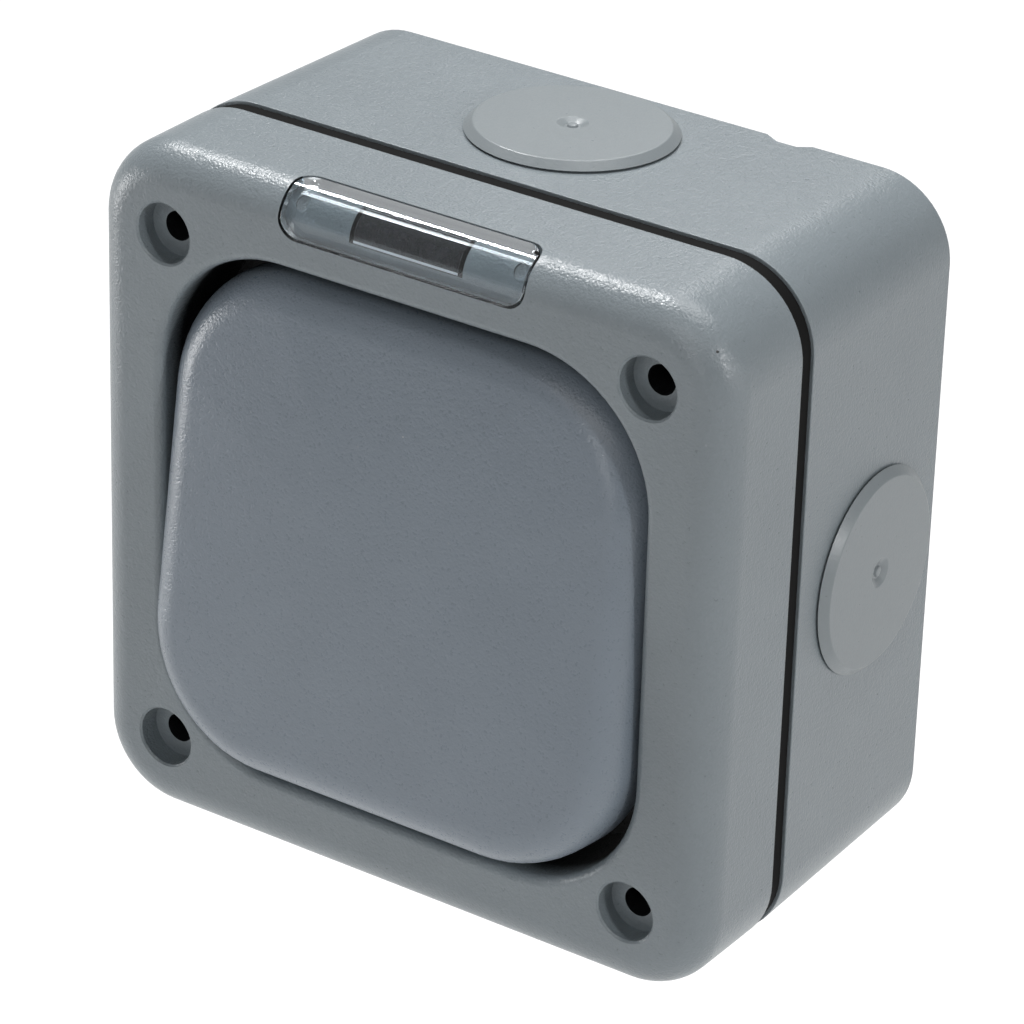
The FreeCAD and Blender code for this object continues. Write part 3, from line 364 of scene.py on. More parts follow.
def combine(piece, operation, *tools):
    mesh = bmesh.new()
    for tool in tools:
        mesh.from_mesh(tool.data)
    joined = newPiece("joined", mesh)
    change = piece.modifiers.new("combine", "BOOLEAN")
    change.object = joined
    change.operation = operation
    change.solver = "EXACT"
    settle(piece)
    for tool in (joined, *tools):
        bpy.data.objects.remove(tool)


def dress(piece, material, angle=33):
    mesh = bmesh.new()
    mesh.from_mesh(piece.data)
    bmesh.ops.remove_doubles(mesh, verts=mesh.verts, dist=1e-6)
    for face in mesh.faces:
        face.smooth = True
        face.material_index = 0
    for edge in mesh.edges:
        edge.smooth = edge.calc_face_angle(0) < math.radians(angle)
    mesh.to_mesh(piece.data)
    mesh.free()
    piece.data.materials.clear()
    piece.data.materials.append(material)
    normals = piece.modifiers.new("normals", "WEIGHTED_NORMAL")
    normals.keep_sharp = True
    settle(piece)


def setPiece(piece, body, slot, *nodes):
    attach(piece, body)
    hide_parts(*nodes)


# Trees that lay out what repeats

def startPattern(name, sockets):
    group = bpy.data.node_groups.new(name, "GeometryNodeTree")
    group.interface.new_socket("Geometry", in_out="INPUT", socket_type="NodeSocketGeometry")
    for title, kind in sockets.items():
        group.interface.new_socket(title, in_out="INPUT", socket_type=kind)
    group.interface.new_socket("Geometry", in_out="OUTPUT", socket_type="NodeSocketGeometry")
    tree = Tree(group)
    node = group.nodes.new("NodeGroupInput")
    wires = {socket.name: Wire(tree, socket) for socket in node.outputs if socket.name}
    return group, tree, wires


def closePattern(tree, geometry, material):
    solid = tree.add("GeometryNodeRealizeInstances", None, {"Geometry": geometry})
    painted = tree.add("GeometryNodeSetMaterial", None, {"Geometry": solid, "Material": material})
    tree.add("NodeGroupOutput", None, {0: painted})


def applyPattern(piece, group, values):
    modifier = piece.modifiers.new(group.name, "NODES")
    modifier.node_group = group
    for socket in group.interface.items_tree:
        if socket.in_out == "INPUT" and socket.name in values:
            modifier[socket.identifier] = values[socket.name]
    settle(piece)
    return piece


def cornerPattern():
    floatKind = "NodeSocketFloat"
    group, tree, wires = startPattern("cornerPattern", {"Across": floatKind, "Up": floatKind,
                                                        "Material": "NodeSocketMaterial"})
    grid = tree.add("GeometryNodeMeshGrid", None, {"Size X": wires["Across"], "Size Y": wires["Up"],
                                                   "Vertices X": 2, "Vertices Y": 2})
    upright = tree.add("GeometryNodeTransform", None, {"Geometry": grid, "Rotation": (math.pi / 2, 0, 0)})
    copies = tree.add("GeometryNodeInstanceOnPoints", None, {"Points": upright, "Instance": wires["Geometry"]})
    closePattern(tree, copies, wires["Material"])
    return group


def sidePattern():
    floatKind = "NodeSocketFloat"
    group, tree, wires = startPattern("sidePattern", {"Turn": floatKind, "Reach": floatKind, "Depth": floatKind,
                                                      "Lean": floatKind, "Material": "NodeSocketMaterial"})
    lean = tree.add("ShaderNodeCombineXYZ", None, {"X": wires["Lean"]})
    seat = tree.add("ShaderNodeCombineXYZ", None, {"Y": 0 - wires["Depth"], "Z": wires["Reach"]})
    turn = tree.add("ShaderNodeCombineXYZ", None, {"Y": wires["Turn"]})
    seated = tree.add("GeometryNodeTransform", None, {"Geometry": wires["Geometry"], "Rotation": lean,
                                                      "Translation": seat})
    turned = tree.add("GeometryNodeTransform", None, {"Geometry": seated, "Rotation": turn})
    closePattern(tree, turned, wires["Material"])
    return group


atCorners = cornerPattern()
atSide = sidePattern()


def fourOf(piece, spread, material):
    return applyPattern(piece, atCorners, {"Across": spread / 1000, "Up": spread / 1000, "Material": material})


# The four screws' places, shared by the box, the gasket and the cover

screws = {"spread": 67.0036, "hole": 1.85, "seat": 3.75, "seatDepth": 3.0, "chamfer": 0.25, "post": 4.2,
          "pilot": 1.45, "pilotDepth": 14.0}


def mirrored(value):
    return value, -value


# The back box

box = {"half": 44.0, "corner": 10.5, "draft": 0.78, "rim": 31.2, "wall": 2.8, "back": 3.0, "edge": 0.12,
       "rib": 1.0, "ribDrop": 1.5, "ribFoot": 1.4, "fixing": 30.15, "fixingHole": 2.4, "fixingBoss": 5.0,
       "fixingHeight": 1.0, "entryDepth": 14.5, "entry": 10.15, "notch": 21.2, "notchFloor": 1.35,
       "notchLeft": 2.2, "notchRight": 1.6, "notchDepth": 1.3, "cradleAcross": -24.2018, "cradleUp": -23.7018,
       "cradleWide": 3.6, "cradleTall": 4.1, "cradleWall": 1.5, "cradleHeight": 4.5, "entryReach": 50}


def boxRing(inset, depth):
    shrink = box["draft"] * (1 - depth / box["rim"]) + inset
    return ring(box["half"] - shrink, box["half"] - shrink, box["corner"] - shrink, depth)


def cradleBlock(wall, back, rise):
    wide = box["cradleWide"] + wall
    tall = box["cradleTall"] + wall
    return block("cradle", box["cradleAcross"] - wide, box["cradleAcross"] + wide, back,
                 box["back"] + box["cradleHeight"] + rise, box["cradleUp"] - tall, box["cradleUp"] + tall)


def makeBox():
    rim = box["rim"]
    edge = box["edge"]
    root = box["back"] - overlap
    outerStations = arc(edge, edge, edge, 270, 180, 4) + arc(edge, rim - edge, edge, 180, 90, 4)
    innerStations = [(box["wall"], rim), (box["wall"], box["back"])]
    piece = loft("backBox", [boxRing(inset, depth) for inset, depth in outerStations + innerStations])
    post = prism("post", circle(screws["post"]), root, rim, alongDepth)
    combine(piece, "UNION", fourOf(post, screws["spread"], enclosureGrey))
    half = screws["spread"] / 2
    reach = box["half"] - box["ribFoot"]
    ribTop = rim - box["ribDrop"]
    across = []
    upright = []
    for signX in (1, -1):
        for signZ in (1, -1):
            rows = sorted((signX * half, signX * reach))
            columns = sorted((signZ * half, signZ * reach))
            across.append(block("rib", *rows, root, ribTop,
                                signZ * half - box["rib"], signZ * half + box["rib"]))
            upright.append(block("rib", signX * half - box["rib"], signX * half + box["rib"], root, ribTop,
                                 *columns))
    combine(piece, "UNION", *across)
    combine(piece, "UNION", *upright)
    bossTop = box["back"] + box["fixingHeight"]
    bosses = [prism("boss", circle(box["fixingBoss"], x), root, bossTop, alongDepth)
              for x in mirrored(box["fixing"])]
    combine(piece, "UNION", *bosses)
    combine(piece, "UNION", cradleBlock(box["cradleWall"], root, 0))
    combine(piece, "DIFFERENCE", cradleBlock(0, box["back"], overshoot))
    pilot = prism("pilot", circle(screws["pilot"]), rim - screws["pilotDepth"], rim + overshoot, alongDepth)
    combine(piece, "DIFFERENCE", fourOf(pilot, screws["spread"], enclosureGrey))
    holes = [prism("hole", circle(box["fixingHole"], x), -overshoot, bossTop + overshoot, alongDepth)
             for x in mirrored(box["fixing"])]
    combine(piece, "DIFFERENCE", *holes)
    across = prism("entry", circle(box["entry"], box["entryDepth"], 0, 96), -box["entryReach"],
                   box["entryReach"], alongX)
    upright = across.copy()
    upright.data = across.data.copy()
    upright.data.transform(Matrix.Rotation(math.pi / 2, 4, "Y"))
    combine(piece, "DIFFERENCE", across)
    combine(piece, "DIFFERENCE", upright)
    left = box["notch"] - box["notchFloor"]
    right = box["notch"] + box["notchFloor"]
    farLeft = left - box["notchLeft"]
    farRight = right + box["notchRight"]
    corners = [(farLeft, -overshoot), (farLeft, 0), (left, box["notchDepth"]),
               (right, box["notchDepth"]), (farRight, 0), (farRight, -overshoot)]
    notch = prism("notch", corners, box["half"] - box["draft"] - box["wall"], box["half"] + overshoot, upwards)
    combine(piece, "DIFFERENCE", notch)
    dress(piece, enclosureGrey)
    setPiece(piece, "enclosure", "enclosure_plastic", "back_box")


makeBox()
print("back box made")


# The gasket between the box and the cover

gasket = {"half": 43.6, "corner": 10.1, "back": 31.2, "front": 33.6, "swell": 0.15, "opening": 40.6,
          "openingCorner": 3.0, "waist": 29.3}


def makeGasket():
    swell = gasket["swell"]
    stations = arc(swell, gasket["back"] + swell, swell, 270, 180, 5)
    stations += arc(swell, gasket["front"] - swell, swell, 180, 90, 5)
    rings = [ring(gasket["half"] - inset, gasket["half"] - inset, gasket["corner"] - inset, depth)
             for inset, depth in stations]
    piece = loft("lidGasket", rings)
    low = gasket["back"] - overshoot
    high = gasket["front"] + overshoot
    for wide, tall in ((gasket["opening"], gasket["waist"]), (gasket["waist"], gasket["opening"])):
        hollow = prism("hollow", outline(wide, tall, gasket["openingCorner"]), low, high, alongDepth)
        combine(piece, "DIFFERENCE", hollow)
    hole = prism("hole", circle(screws["hole"]), low, high, alongDepth)
    combine(piece, "DIFFERENCE", fourOf(hole, screws["spread"], sealBlack))
    dress(piece, sealBlack)
    setPiece(piece, "enclosure", "seal_rubber", "lid_gasket")


makeGasket()
print("gasket made")


# The clear lens over the top edge of the cover, which also shapes its seat

lens = {"half": 16.8, "thickness": 1.8, "back": 44.0, "bottom": 38.0, "corner": 2.6, "edge": 0.2,
        "seatPlay": 0.2, "blockHalf": 7.2, "blockBack": 44.22, "blockBottom": 39.12, "blockBend": 2.85,
        "blockRounding": 1.4, "blockEdge": 0.22, "pin": 0.8, "pinAcross": 15.0, "pinLow": 1.4, "pinHigh": 3.9,
        "pinSeat": 2.5, "pinPlay": 0.12, "windowHalf": 7.8, "windowBack": 44.1, "windowBottom": 39.0}
# The cover's numbers include the depth where the painted shade in the well starts and the run over which it
# reaches full dark.
cover = {"half": 44.0, "corner": 10.5, "back": 33.6, "front": 49.0, "rounding": 4.8, "wall": 2.8, "edge": 0.12,
         "opening": 33.9, "openingCorner": 16.75, "lip": 1.2, "wellWall": 2.2, "paintedShadeStart": 48.0, "paintedShadeRun": 3.0,
         "floor": 36.2, "floorBack": 33.8, "floorHoleWide": 13.0, "floorHoleTall": 15.0,
         "floorHoleCorner": 3.0, "ceiling": 46.2, "stud": 3.3, "studUp": 23.5, "studBack": 32.6,
         "studFront": 40.2, "studPilot": 1.45, "studPilotFront": 38.6,
         "lugInside": 20.0, "lugOutside": 23.0, "lug": 3.4, "lugBearing": 1.55, "lugSlot": 1.3}


def sheetSpot(along, x, level):
    bend = cover["rounding"]
    turn = min(max(along / bend, 0), math.pi / 2)
    run = along - bend * turn
    depth = cover["front"] - bend + level * math.sin(turn) + min(run, 0)
    return point(x, depth, cover["half"] - bend + level * math.cos(turn) - max(run, 0))


def sheetRows(play):
    bend = cover["rounding"]
    corner = lens["corner"]
    reach = lens["half"] + play - corner
    back = lens["back"] - play - cover["front"] + bend
    bottom = lens["bottom"] - play - cover["half"] + bend
    steps = 10
    rounding = [corner * (1 - math.cos(math.radians(90 * step / steps))) for step in range(steps + 1)]

    def halfWidth(inset):
        return reach + math.sqrt(max(0, corner ** 2 - (corner - inset) ** 2))

    rows = []
    for inset in rounding:
        depth = back + inset
        rows.append((bend * math.asin(depth / bend) if depth > 0 else depth, halfWidth(inset)))
    last = []
    for inset in reversed(rounding):
        up = bottom + inset
        last.append((bend * math.acos(up / bend) if up > 0 else bend * math.pi / 2 - up, halfWidth(inset)))
    between = [rows[-1][0] + (last[0][0] - rows[-1][0]) * step / steps for step in range(1, steps)]
    return rows + [(along, reach + corner) for along in between] + last


def lensSheet(name, play, stations):
    rows = sheetRows(play)
    low = rows[0][0]
    length = rows[-1][0] - low
    mesh = bmesh.new()
    loops = []
    for inset, level in stations:
        sides = []
        for side in (-1, 1):
            spots = [(low + inset + (along - low) * (1 - 2 * inset / length), side * (width - inset))
                     for along, width in rows]
            sides.append([mesh.verts.new(sheetSpot(along, x, level)) for along, x in spots])
        loops.append(sides)
    for (left, right), (nextLeft, nextRight) in zip(loops, loops[1:]):
        here = left + right[::-1]
        following = nextLeft + nextRight[::-1]
        for index in range(len(here)):
            mesh.faces.new((here[index - 1], here[index], following[index], following[index - 1]))
    for left, right in (loops[0], loops[-1]):
        for row in range(len(left) - 1):
            mesh.faces.new((left[row], left[row + 1], right[row + 1], right[row]))
    return newPiece(name, mesh)


def outOfBend(u, v, level):
    share = math.sqrt(0.5)
    depth = cover["front"] - cover["rounding"] + (level + v) * share
    return point(u, depth, cover["half"] - cover["rounding"] + (level - v) * share)


def lensPins(grow, low, high):
    return [prism("pin", circle(lens["pin"] + grow, x, 0, 32), low, high, outOfBend)
            for x in mirrored(lens["pinAcross"])]


def softenEdges(piece, width, angle):
    bevel = piece.modifiers.new("bevel", "BEVEL")
    bevel.width = width / 1000
    bevel.segments = 3
    bevel.limit_method = "ANGLE"
    bevel.angle_limit = math.radians(angle)
    settle(piece)


# Writes the painted-light share of each face corner into an attribute.
def markPaintedLight(piece, name, shade):
    data = piece.data
    marks = data.attributes.new(name, "FLOAT", "CORNER")
    for face in data.polygons:
        for loop in face.loop_indices:
            corner = data.vertices[data.loops[loop].vertex_index].co
            marks.data[loop].value = shade(1000 * face.center, face.normal, -1000 * corner.y)


# How faces that take painted shade and painted highlights are told from those beside them: distances and parts of
# their normals

paintedLightLimits = {"margin": 0.5, "skin": 0.05, "floorSkin": 0.1, "seatSkin": 0.02, "rimSkin": 0.03, "pinReach": 1.2,
           "steep": 0.5, "flat": 0.97, "slant": 0.15, "outward": 0.7}


def fromBend(centre):
    bend = cover["rounding"]
    return Vector((0, -max(0, -centre.y - cover["front"] + bend), max(0, centre.z - cover["half"] + bend)))


# Painted shade on the lens: the bevelled edge faces of its outer surface take the dark tone.
def lensPaintedShade(centre, normal, depth):
    out = fromBend(centre)
    outermost = out.length > cover["rounding"] - lens["edge"] - paintedLightLimits["skin"]
    return float(outermost and normal.dot(out.normalized()) < paintedLightLimits["flat"])


# Painted shade on the cover: the walls of the screw holes, of the lens seat and of the window go near black, and
# the well round the rocker darkens with depth.
def coverPaintedShade(centre, normal, depth):
    across, up = abs(centre.x), abs(centre.z)
    half = screws["spread"] / 2
    margin = paintedLightLimits["margin"]
    fromScrew = math.hypot(across - half, up - half)
    if fromScrew < screws["seat"] + margin:
        return float(fromScrew < screws["hole"] + paintedLightLimits["skin"] and abs(normal.y) < paintedLightLimits["steep"])
    inWell = max(across, up) < cover["opening"] + cover["lip"]
    if inWell and -centre.y > cover["floor"] - paintedLightLimits["floorSkin"]:
        return min(max((cover["paintedShadeStart"] - depth) / cover["paintedShadeRun"], 0), 1)
    near = across < lens["half"] + margin and -centre.y > lens["back"] - margin
    near = near and centre.z > lens["bottom"] - margin
    out = fromBend(centre)
    atPin = abs(across - lens["pinAcross"]) < paintedLightLimits["pinReach"] and min(-out.y, out.z) > margin
    inSeat = out.length < cover["rounding"] + paintedLightLimits["seatSkin"]
    wall = inSeat and abs(normal.dot(out.normalized())) < paintedLightLimits["steep"]
    return float(near and wall and not atPin and normal.y > -paintedLightLimits["outward"])


def makeLens():
    bend = cover["rounding"]
    edge = lens["edge"]
    stations = [(inset, bend - drop) for inset, drop in arc(edge, edge, edge, 270, 180, 3)]
    piece = lensSheet("indicatorLens", 0, stations + [(0, bend - lens["thickness"])])
    combine(piece, "UNION", *lensPins(0, lens["pinLow"], lens["pinHigh"]))
    dress(piece, lensClear)
    markPaintedLight(piece, "rim", lensPaintedShade)
    setPiece(piece, "enclosure", "lens_clear", "indicator_lens")


# Painted highlight on the light block: faces along its top and bottom edges and the bevels at its ends take the
# pale tone.
def blockPaintedHighlight(centre, normal, depth):
    width = lens["blockEdge"] + paintedLightLimits["rimSkin"]
    front = cover["front"] - cover["rounding"] + lens["blockBend"]
    top = cover["half"] - cover["rounding"] + lens["blockBend"]
    low = -centre.y > front - width and centre.z < lens["blockBottom"] + width
    high = centre.z > top - width and -centre.y < lens["blockBack"] + width
    return float(low or high or paintedLightLimits["slant"] < abs(normal.x) < paintedLightLimits["flat"])


def makeLightBlock():
    middleDepth = cover["front"] - cover["rounding"]
    middleUp = cover["half"] - cover["rounding"]
    bend = lens["blockRounding"]
    corners = arc(middleDepth, middleUp, lens["blockBend"], 90, 0, 24)
    corners.append((middleDepth + lens["blockBend"], lens["blockBottom"]))
    corners += arc(lens["blockBack"] + bend, lens["blockBottom"] + bend, bend, 270, 180, 8)
    corners.append((lens["blockBack"], middleUp + lens["blockBend"]))
    piece = prism("lightBlock", corners, -lens["blockHalf"], lens["blockHalf"], alongX)
    softenEdges(piece, lens["blockEdge"], angle=60)
    dress(piece, blockPaintedDark)
    markPaintedLight(piece, "rim", blockPaintedHighlight)
    setPiece(piece, "enclosure", "lens_clear", "indicator_lens")


makeLens()
makeLightBlock()
print("lens made")


# The cover, with its well, screw seats, lens seat and the lugs that hold the rocker

def coverRing(inset, depth):
    return ring(cover["half"] - inset, cover["half"] - inset, cover["corner"] - inset, depth)


def wellRing(outset, depth):
    half = cover["opening"] + outset
    return ring(half, half, cover["openingCorner"] + outset, depth)


def coverLug(sign):
    middle = pivotDepth["rocker_pivot"]
    slotAt = math.degrees(math.asin(cover["lugSlot"] / cover["lug"]))
    mouthAt = math.degrees(math.asin(cover["lugSlot"] / cover["lugBearing"]))
    left = arc(0, middle, cover["lug"], 180, 90 + slotAt, 8)
    bearing = arc(0, middle, cover["lugBearing"], 90 + mouthAt, 450 - mouthAt, 24)
    right = arc(0, middle, cover["lug"], 90 - slotAt, 0, 8)
    foot = cover["floor"] - overlap
    corners = [(-cover["lug"], foot)] + left + bearing + right + [(cover["lug"], foot)]
    low, high = sorted((sign * cover["lugInside"], sign * cover["lugOutside"]))
    return prism("lug", [(depth, z) for z, depth in corners], low, high, alongX)


def makeCover():
    edge = cover["edge"]
    bend = cover["rounding"]
    front = cover["front"]
    outside = arc(edge, cover["back"] + edge, edge, 270, 180, 4) + arc(bend, front - bend, bend, 180, 90, 14)
    lip = arc(cover["lip"], front - cover["lip"], cover["lip"], 90, 180, 6)
    inside = arc(bend, front - bend, bend - cover["wall"], 90, 180, 8)
    hole = (cover["floorHoleWide"], cover["floorHoleTall"], cover["floorHoleCorner"])
    rings = [coverRing(inset, depth) for inset, depth in outside]
    rings += [wellRing(outset, depth) for outset, depth in lip]
    # This ring is where the painted shade in the well reaches full dark.
    rings += [wellRing(0, cover["paintedShadeStart"] - cover["paintedShadeRun"]), wellRing(0, cover["floor"])]
    rings += [ring(*hole, cover["floor"]), ring(*hole, cover["floorBack"])]
    rings += [wellRing(cover["wellWall"], cover["floorBack"]), wellRing(cover["wellWall"], cover["ceiling"])]
    rings += [coverRing(inset, depth) for inset, depth in inside]
    rings.append(coverRing(cover["wall"], cover["back"]))
    piece = loft("frontCover", rings, loop=True)
    boss = prism("boss", circle(screws["post"]), cover["back"], cover["ceiling"] + overlap, alongDepth)
    combine(piece, "UNION", fourOf(boss, screws["spread"], enclosureGrey))
    studs = [prism("stud", circle(cover["stud"], 0, z), cover["studBack"], cover["studFront"], alongDepth)
             for z in mirrored(cover["studUp"])]
    combine(piece, "UNION", *studs)
    combine(piece, "UNION", coverLug(1), coverLug(-1))
    pilots = [prism("pilot", circle(cover["studPilot"], 0, z), cover["studBack"] - overshoot,
                    cover["studPilotFront"], alongDepth) for z in mirrored(cover["studUp"])]
    combine(piece, "DIFFERENCE", *pilots)
    seatDepth = front - screws["seatDepth"]
    mouth = screws["seat"] + screws["chamfer"]
    profile = [(screws["hole"], cover["back"] - overshoot), (screws["hole"], seatDepth),
               (screws["seat"], seatDepth), (screws["seat"], front - screws["chamfer"]), (mouth, front),
               (mouth, front + overshoot)]
    combine(piece, "DIFFERENCE", fourOf(lathe("seat", profile), screws["spread"], enclosureGrey))
    seat = [(0, bend + overshoot), (0, bend - lens["thickness"] - lens["seatPlay"])]
    combine(piece, "DIFFERENCE", lensSheet("seat", lens["seatPlay"], seat))
    window = block("window", -lens["windowHalf"], lens["windowHalf"], lens["windowBack"], front + overshoot,
                   lens["windowBottom"], cover["half"] + overshoot)
    combine(piece, "DIFFERENCE", window)
    combine(piece, "DIFFERENCE", *lensPins(lens["pinPlay"], lens["pinSeat"], bend + overshoot))
    dress(piece, enclosureGrey)
    markPaintedLight(piece, "paintedShade", coverPaintedShade)
    setPiece(piece, "enclosure", "enclosure_plastic", "front_cover")


makeCover()
print("cover made")


# The rocker, a shallow cushion that is hollow behind and turns on two stub pins

rocker = {"wide": 33.4, "tall": 31.65, "corner": 17.0, "rounding": 5.5, "crown": 400.0, "face": 9.8,
          "edge": -1.0, "wall": 2.2, "sink": 0.6, "domeShares": (0.92, 0.8, 0.66, 0.52, 0.38, 0.24, 0.1, 0.02),
          "ear": 3.2, "earInside": 16.8, "earOutside": 19.4, "pin": 1.5, "pinOutside": 23.0,
          "pusherUp": 9.0, "pusherHalf": 6.0, "pusherThick": 1.2, "pusherFlat": 0.2,
          "pusherTip": -3.97}
rootForward = rocker["face"] - rocker["wall"] + rocker["sink"]


def tilted(x, forward, z):
    turned = forward * math.cos(restTilt) - z * math.sin(restTilt)
    raised = z * math.cos(restTilt) + forward * math.sin(restTilt)
    return point(x, pivotDepth["rocker_pivot"] + turned, raised)


def tiltedAlongX(u, v, level):
    return tilted(level, u, v)


def tiltedForward(u, v, level):
    return tilted(u, level, v)


def cushionRings(wall):
    wide = rocker["wide"] - wall
    tall = rocker["tall"] - wall
    corner = rocker["corner"] - wall
    bend = rocker["rounding"] - wall
    crown = rocker["crown"] - wall
    face = rocker["face"] - wall

    def dome(x, z):
        return face - crown + math.sqrt(crown ** 2 - x ** 2 - z ** 2)

    rows = [[(x, rocker["edge"], z) for x, z in outline(wide, tall, corner)]]
    core = outline(wide - bend, tall - bend, corner - bend)
    steps = 12
    for step in range(steps + 1):
        row = []
        for (x, z), (coreX, coreZ) in zip(outline(wide, tall, corner), core):
            normal = Vector((x - coreX, z - coreZ)).normalized()
            slope = math.asin((coreX * normal.x + coreZ * normal.y) / crown)
            turn = (math.pi / 2 - slope) * step / steps
            out = bend * math.cos(turn)
            lift = dome(coreX, coreZ) - bend / math.cos(slope) + bend * math.sin(turn)
            row.append((coreX + normal.x * out, lift, coreZ + normal.y * out))
        rows.append(row)
    top = rows[-1]
    for share in rocker["domeShares"]:
        rows.append([(x * share, dome(x * share, z * share), z * share) for x, _, z in top])
    return [[tilted(*spot) for spot in row] for row in rows]


def rockerEar(sign):
    corners = [(-rocker["ear"], rootForward)] + arc(0, 0, rocker["ear"], 180, 360, 16)
    corners.append((rocker["ear"], rootForward))
    low, high = sorted((sign * rocker["earInside"], sign * rocker["earOutside"]))
    return prism("ear", [(forward, z) for z, forward in corners], low, high, tiltedAlongX)


def makeRocker():
    piece = loft("rockerCap", list(reversed(cushionRings(0))) + cushionRings(rocker["wall"]))
    pushers = []
    for up in mirrored(rocker["pusherUp"]):
        thick = rocker["pusherThick"]
        corners = [(x, z + up) for x, z in outline(rocker["pusherHalf"], thick, thick - rocker["pusherFlat"])]
        pushers.append(prism("pusher", corners, rocker["pusherTip"], rootForward, tiltedForward))
    combine(piece, "UNION", rockerEar(1), rockerEar(-1), *pushers)
    pins = []
    for sign in (1, -1):
        low, high = sorted((sign * (rocker["earInside"] + overlap), sign * rocker["pinOutside"]))
        pins.append(prism("pin", circle(rocker["pin"], steps=32), low, high, tiltedAlongX))
    combine(piece, "UNION", *pins)
    dress(piece, rockerGrey)
    setPiece(piece, "rocker", "rocker_plastic", "rocker")


makeRocker()
print("rocker made")


# The plugs in the four cable entries

plug = {"flange": 12.75, "height": 1.25, "slope": 1.05, "under": 0.2, "skirt": 10.0, "skirtWall": 1.6,
        "skirtLength": 6.5, "barb": 0.5, "barbTop": 3.05, "barbBottom": 4.65, "slot": 1.2, "slotStart": 1.0,
        "slotReach": 14, "dimple": 1.9, "dimpleDepth": 0.5, "pip": 0.7, "pipHeight": 0.3, "reach": 43.5825,
        "depth": 14.5}


# Each pair is a radius and a height, from the skirt's floor out and back to the pip. Small offsets ease the edges.

def plugProfile():
    skirt = plug["skirt"]
    inner = skirt - plug["skirtWall"]
    flange = plug["flange"]
    under = plug["under"]
    top = plug["height"]
    rim = flange - plug["slope"]
    dimple = plug["dimple"]
    floor = top - plug["dimpleDepth"]
    pip = plug["pip"]
    tip = floor + plug["pipHeight"]
    return [(0.3, -0.01), (inner, -0.01), (inner, -plug["skirtLength"]), (skirt, -plug["skirtLength"]),
            (skirt + plug["barb"], -plug["barbBottom"] + 0.8), (skirt, -plug["barbTop"]), (skirt, 0),
            (flange - 0.7, 0), (flange - 0.5, under), (flange - 0.1, under), (flange, under + 0.1),
            (rim + 0.15, top - 0.12), (rim + 0.05, top - 0.04), (rim - 0.1, top),
            (dimple + 0.1, top), (dimple - 0.1, top - 0.06), (pip + 0.25, floor), (pip, floor + 0.03),
            (pip - 0.12, tip - 0.05), (pip - 0.3, tip), (0.1, tip)]


def makePlug(name, node, quarter):
    rings = [[Vector((x, y, height)) / 1000 for x, y in circle(radius, steps=96)]
             for radius, height in plugProfile()]
    piece = loft(name, rings)
    low = -(plug["skirtLength"] + overshoot)
    for wide, tall in ((plug["slot"], plug["slotReach"]), (plug["slotReach"], plug["slot"])):
        corners = ((-wide, -tall), (wide, -tall), (wide, tall), (-wide, tall))
        levels = [[Vector((x, y, level)) / 1000 for x, y in corners] for level in (low, -plug["slotStart"])]
        combine(piece, "DIFFERENCE", loft("slot", levels))
    lean = math.atan(box["draft"] / box["rim"])
    applyPattern(piece, atSide, {"Turn": math.radians(90 * quarter), "Reach": plug["reach"] / 1000,
                                 "Depth": plug["depth"] / 1000, "Lean": -lean, "Material": plugGrey})
    dress(piece, plugGrey)
    setPiece(piece, "enclosure", "plug_plastic", node)


for quarter, side in enumerate(("top", "right", "bottom", "left")):
    makePlug(side + "Plug", "entry_plug_" + side, quarter)
print("plugs made")


# The rubber diaphragm between the rocker and the mechanism, made only in its rest shape, though the real one bends
# with the dolly

boot = {"footWide": 11.6, "footTall": 13.6, "topWide": 9.7, "topTall": 11.7, "corner": 3.0, "wall": 0.8,
        "outside": 9.1, "flange": 1.2, "rounding": 0.6, "topInsets": (3.0, 6.5), "innerInsets": (3.0, 6.0),
        "bendStart": 33.6, "bendEnd": 36.5}


def makeBoot():
    _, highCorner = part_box("actuator_seal")
    flangeWide = 1000 * highCorner.x
    flangeTall = 1000 * highCorner.z
    back = -1000 * highCorner.y
    front = back + boot["flange"]
    middle = pivotDepth["dolly_pivot"]

    def wallRing(share, wall, inset=0, drop=0):
        trim = wall + inset
        foot = outline(boot["footWide"] - wall, boot["footTall"] - wall, boot["corner"] - wall)
        top = outline(boot["topWide"] - trim, boot["topTall"] - trim, boot["corner"] - wall)
        row = []
        for (footX, footZ), (topX, topZ) in zip(foot, top):
            forward = boot["outside"] - wall - drop
            topDepth = middle + forward * math.cos(restTilt) - topZ * math.sin(restTilt)
            topUp = topZ * math.cos(restTilt) + forward * math.sin(restTilt)
            footDepth = front if wall == 0 else back
            row.append(point(footX + (topX - footX) * share, footDepth + (topDepth - footDepth) * share,
                             footZ + (topUp - footZ) * share))
        return row

    shares = [step / 10 for step in range(10)]
    bend = boot["rounding"]
    outer = [wallRing(share, 0, 0, bend) for share in shares]
    outer += [wallRing(1, 0, bend - bend * math.cos(turn), bend - bend * math.sin(turn))
              for turn in (math.radians(18 * step) for step in range(6))]
    outer += [wallRing(1, 0, inset) for inset in boot["topInsets"]]
    inner = [wallRing(share, boot["wall"]) for share in shares + [1]]
    inner += [wallRing(1, boot["wall"], inset) for inset in boot["innerInsets"]]
    flange = [ring(flangeWide, flangeTall, boot["corner"], depth) for depth in (front, back)]
    piece = loft("actuatorBoot", list(reversed(outer)) + flange + inner)
    dress(piece, sealBlack, angle=50)
    point(0, boot["bendStart"], 0)
    point(0, boot["bendEnd"], 0)
    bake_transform(piece)
    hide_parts("actuator_seal")


makeBoot()
print("diaphragm made")


# The mechanism inside keeps its construction meshes and takes better finishes

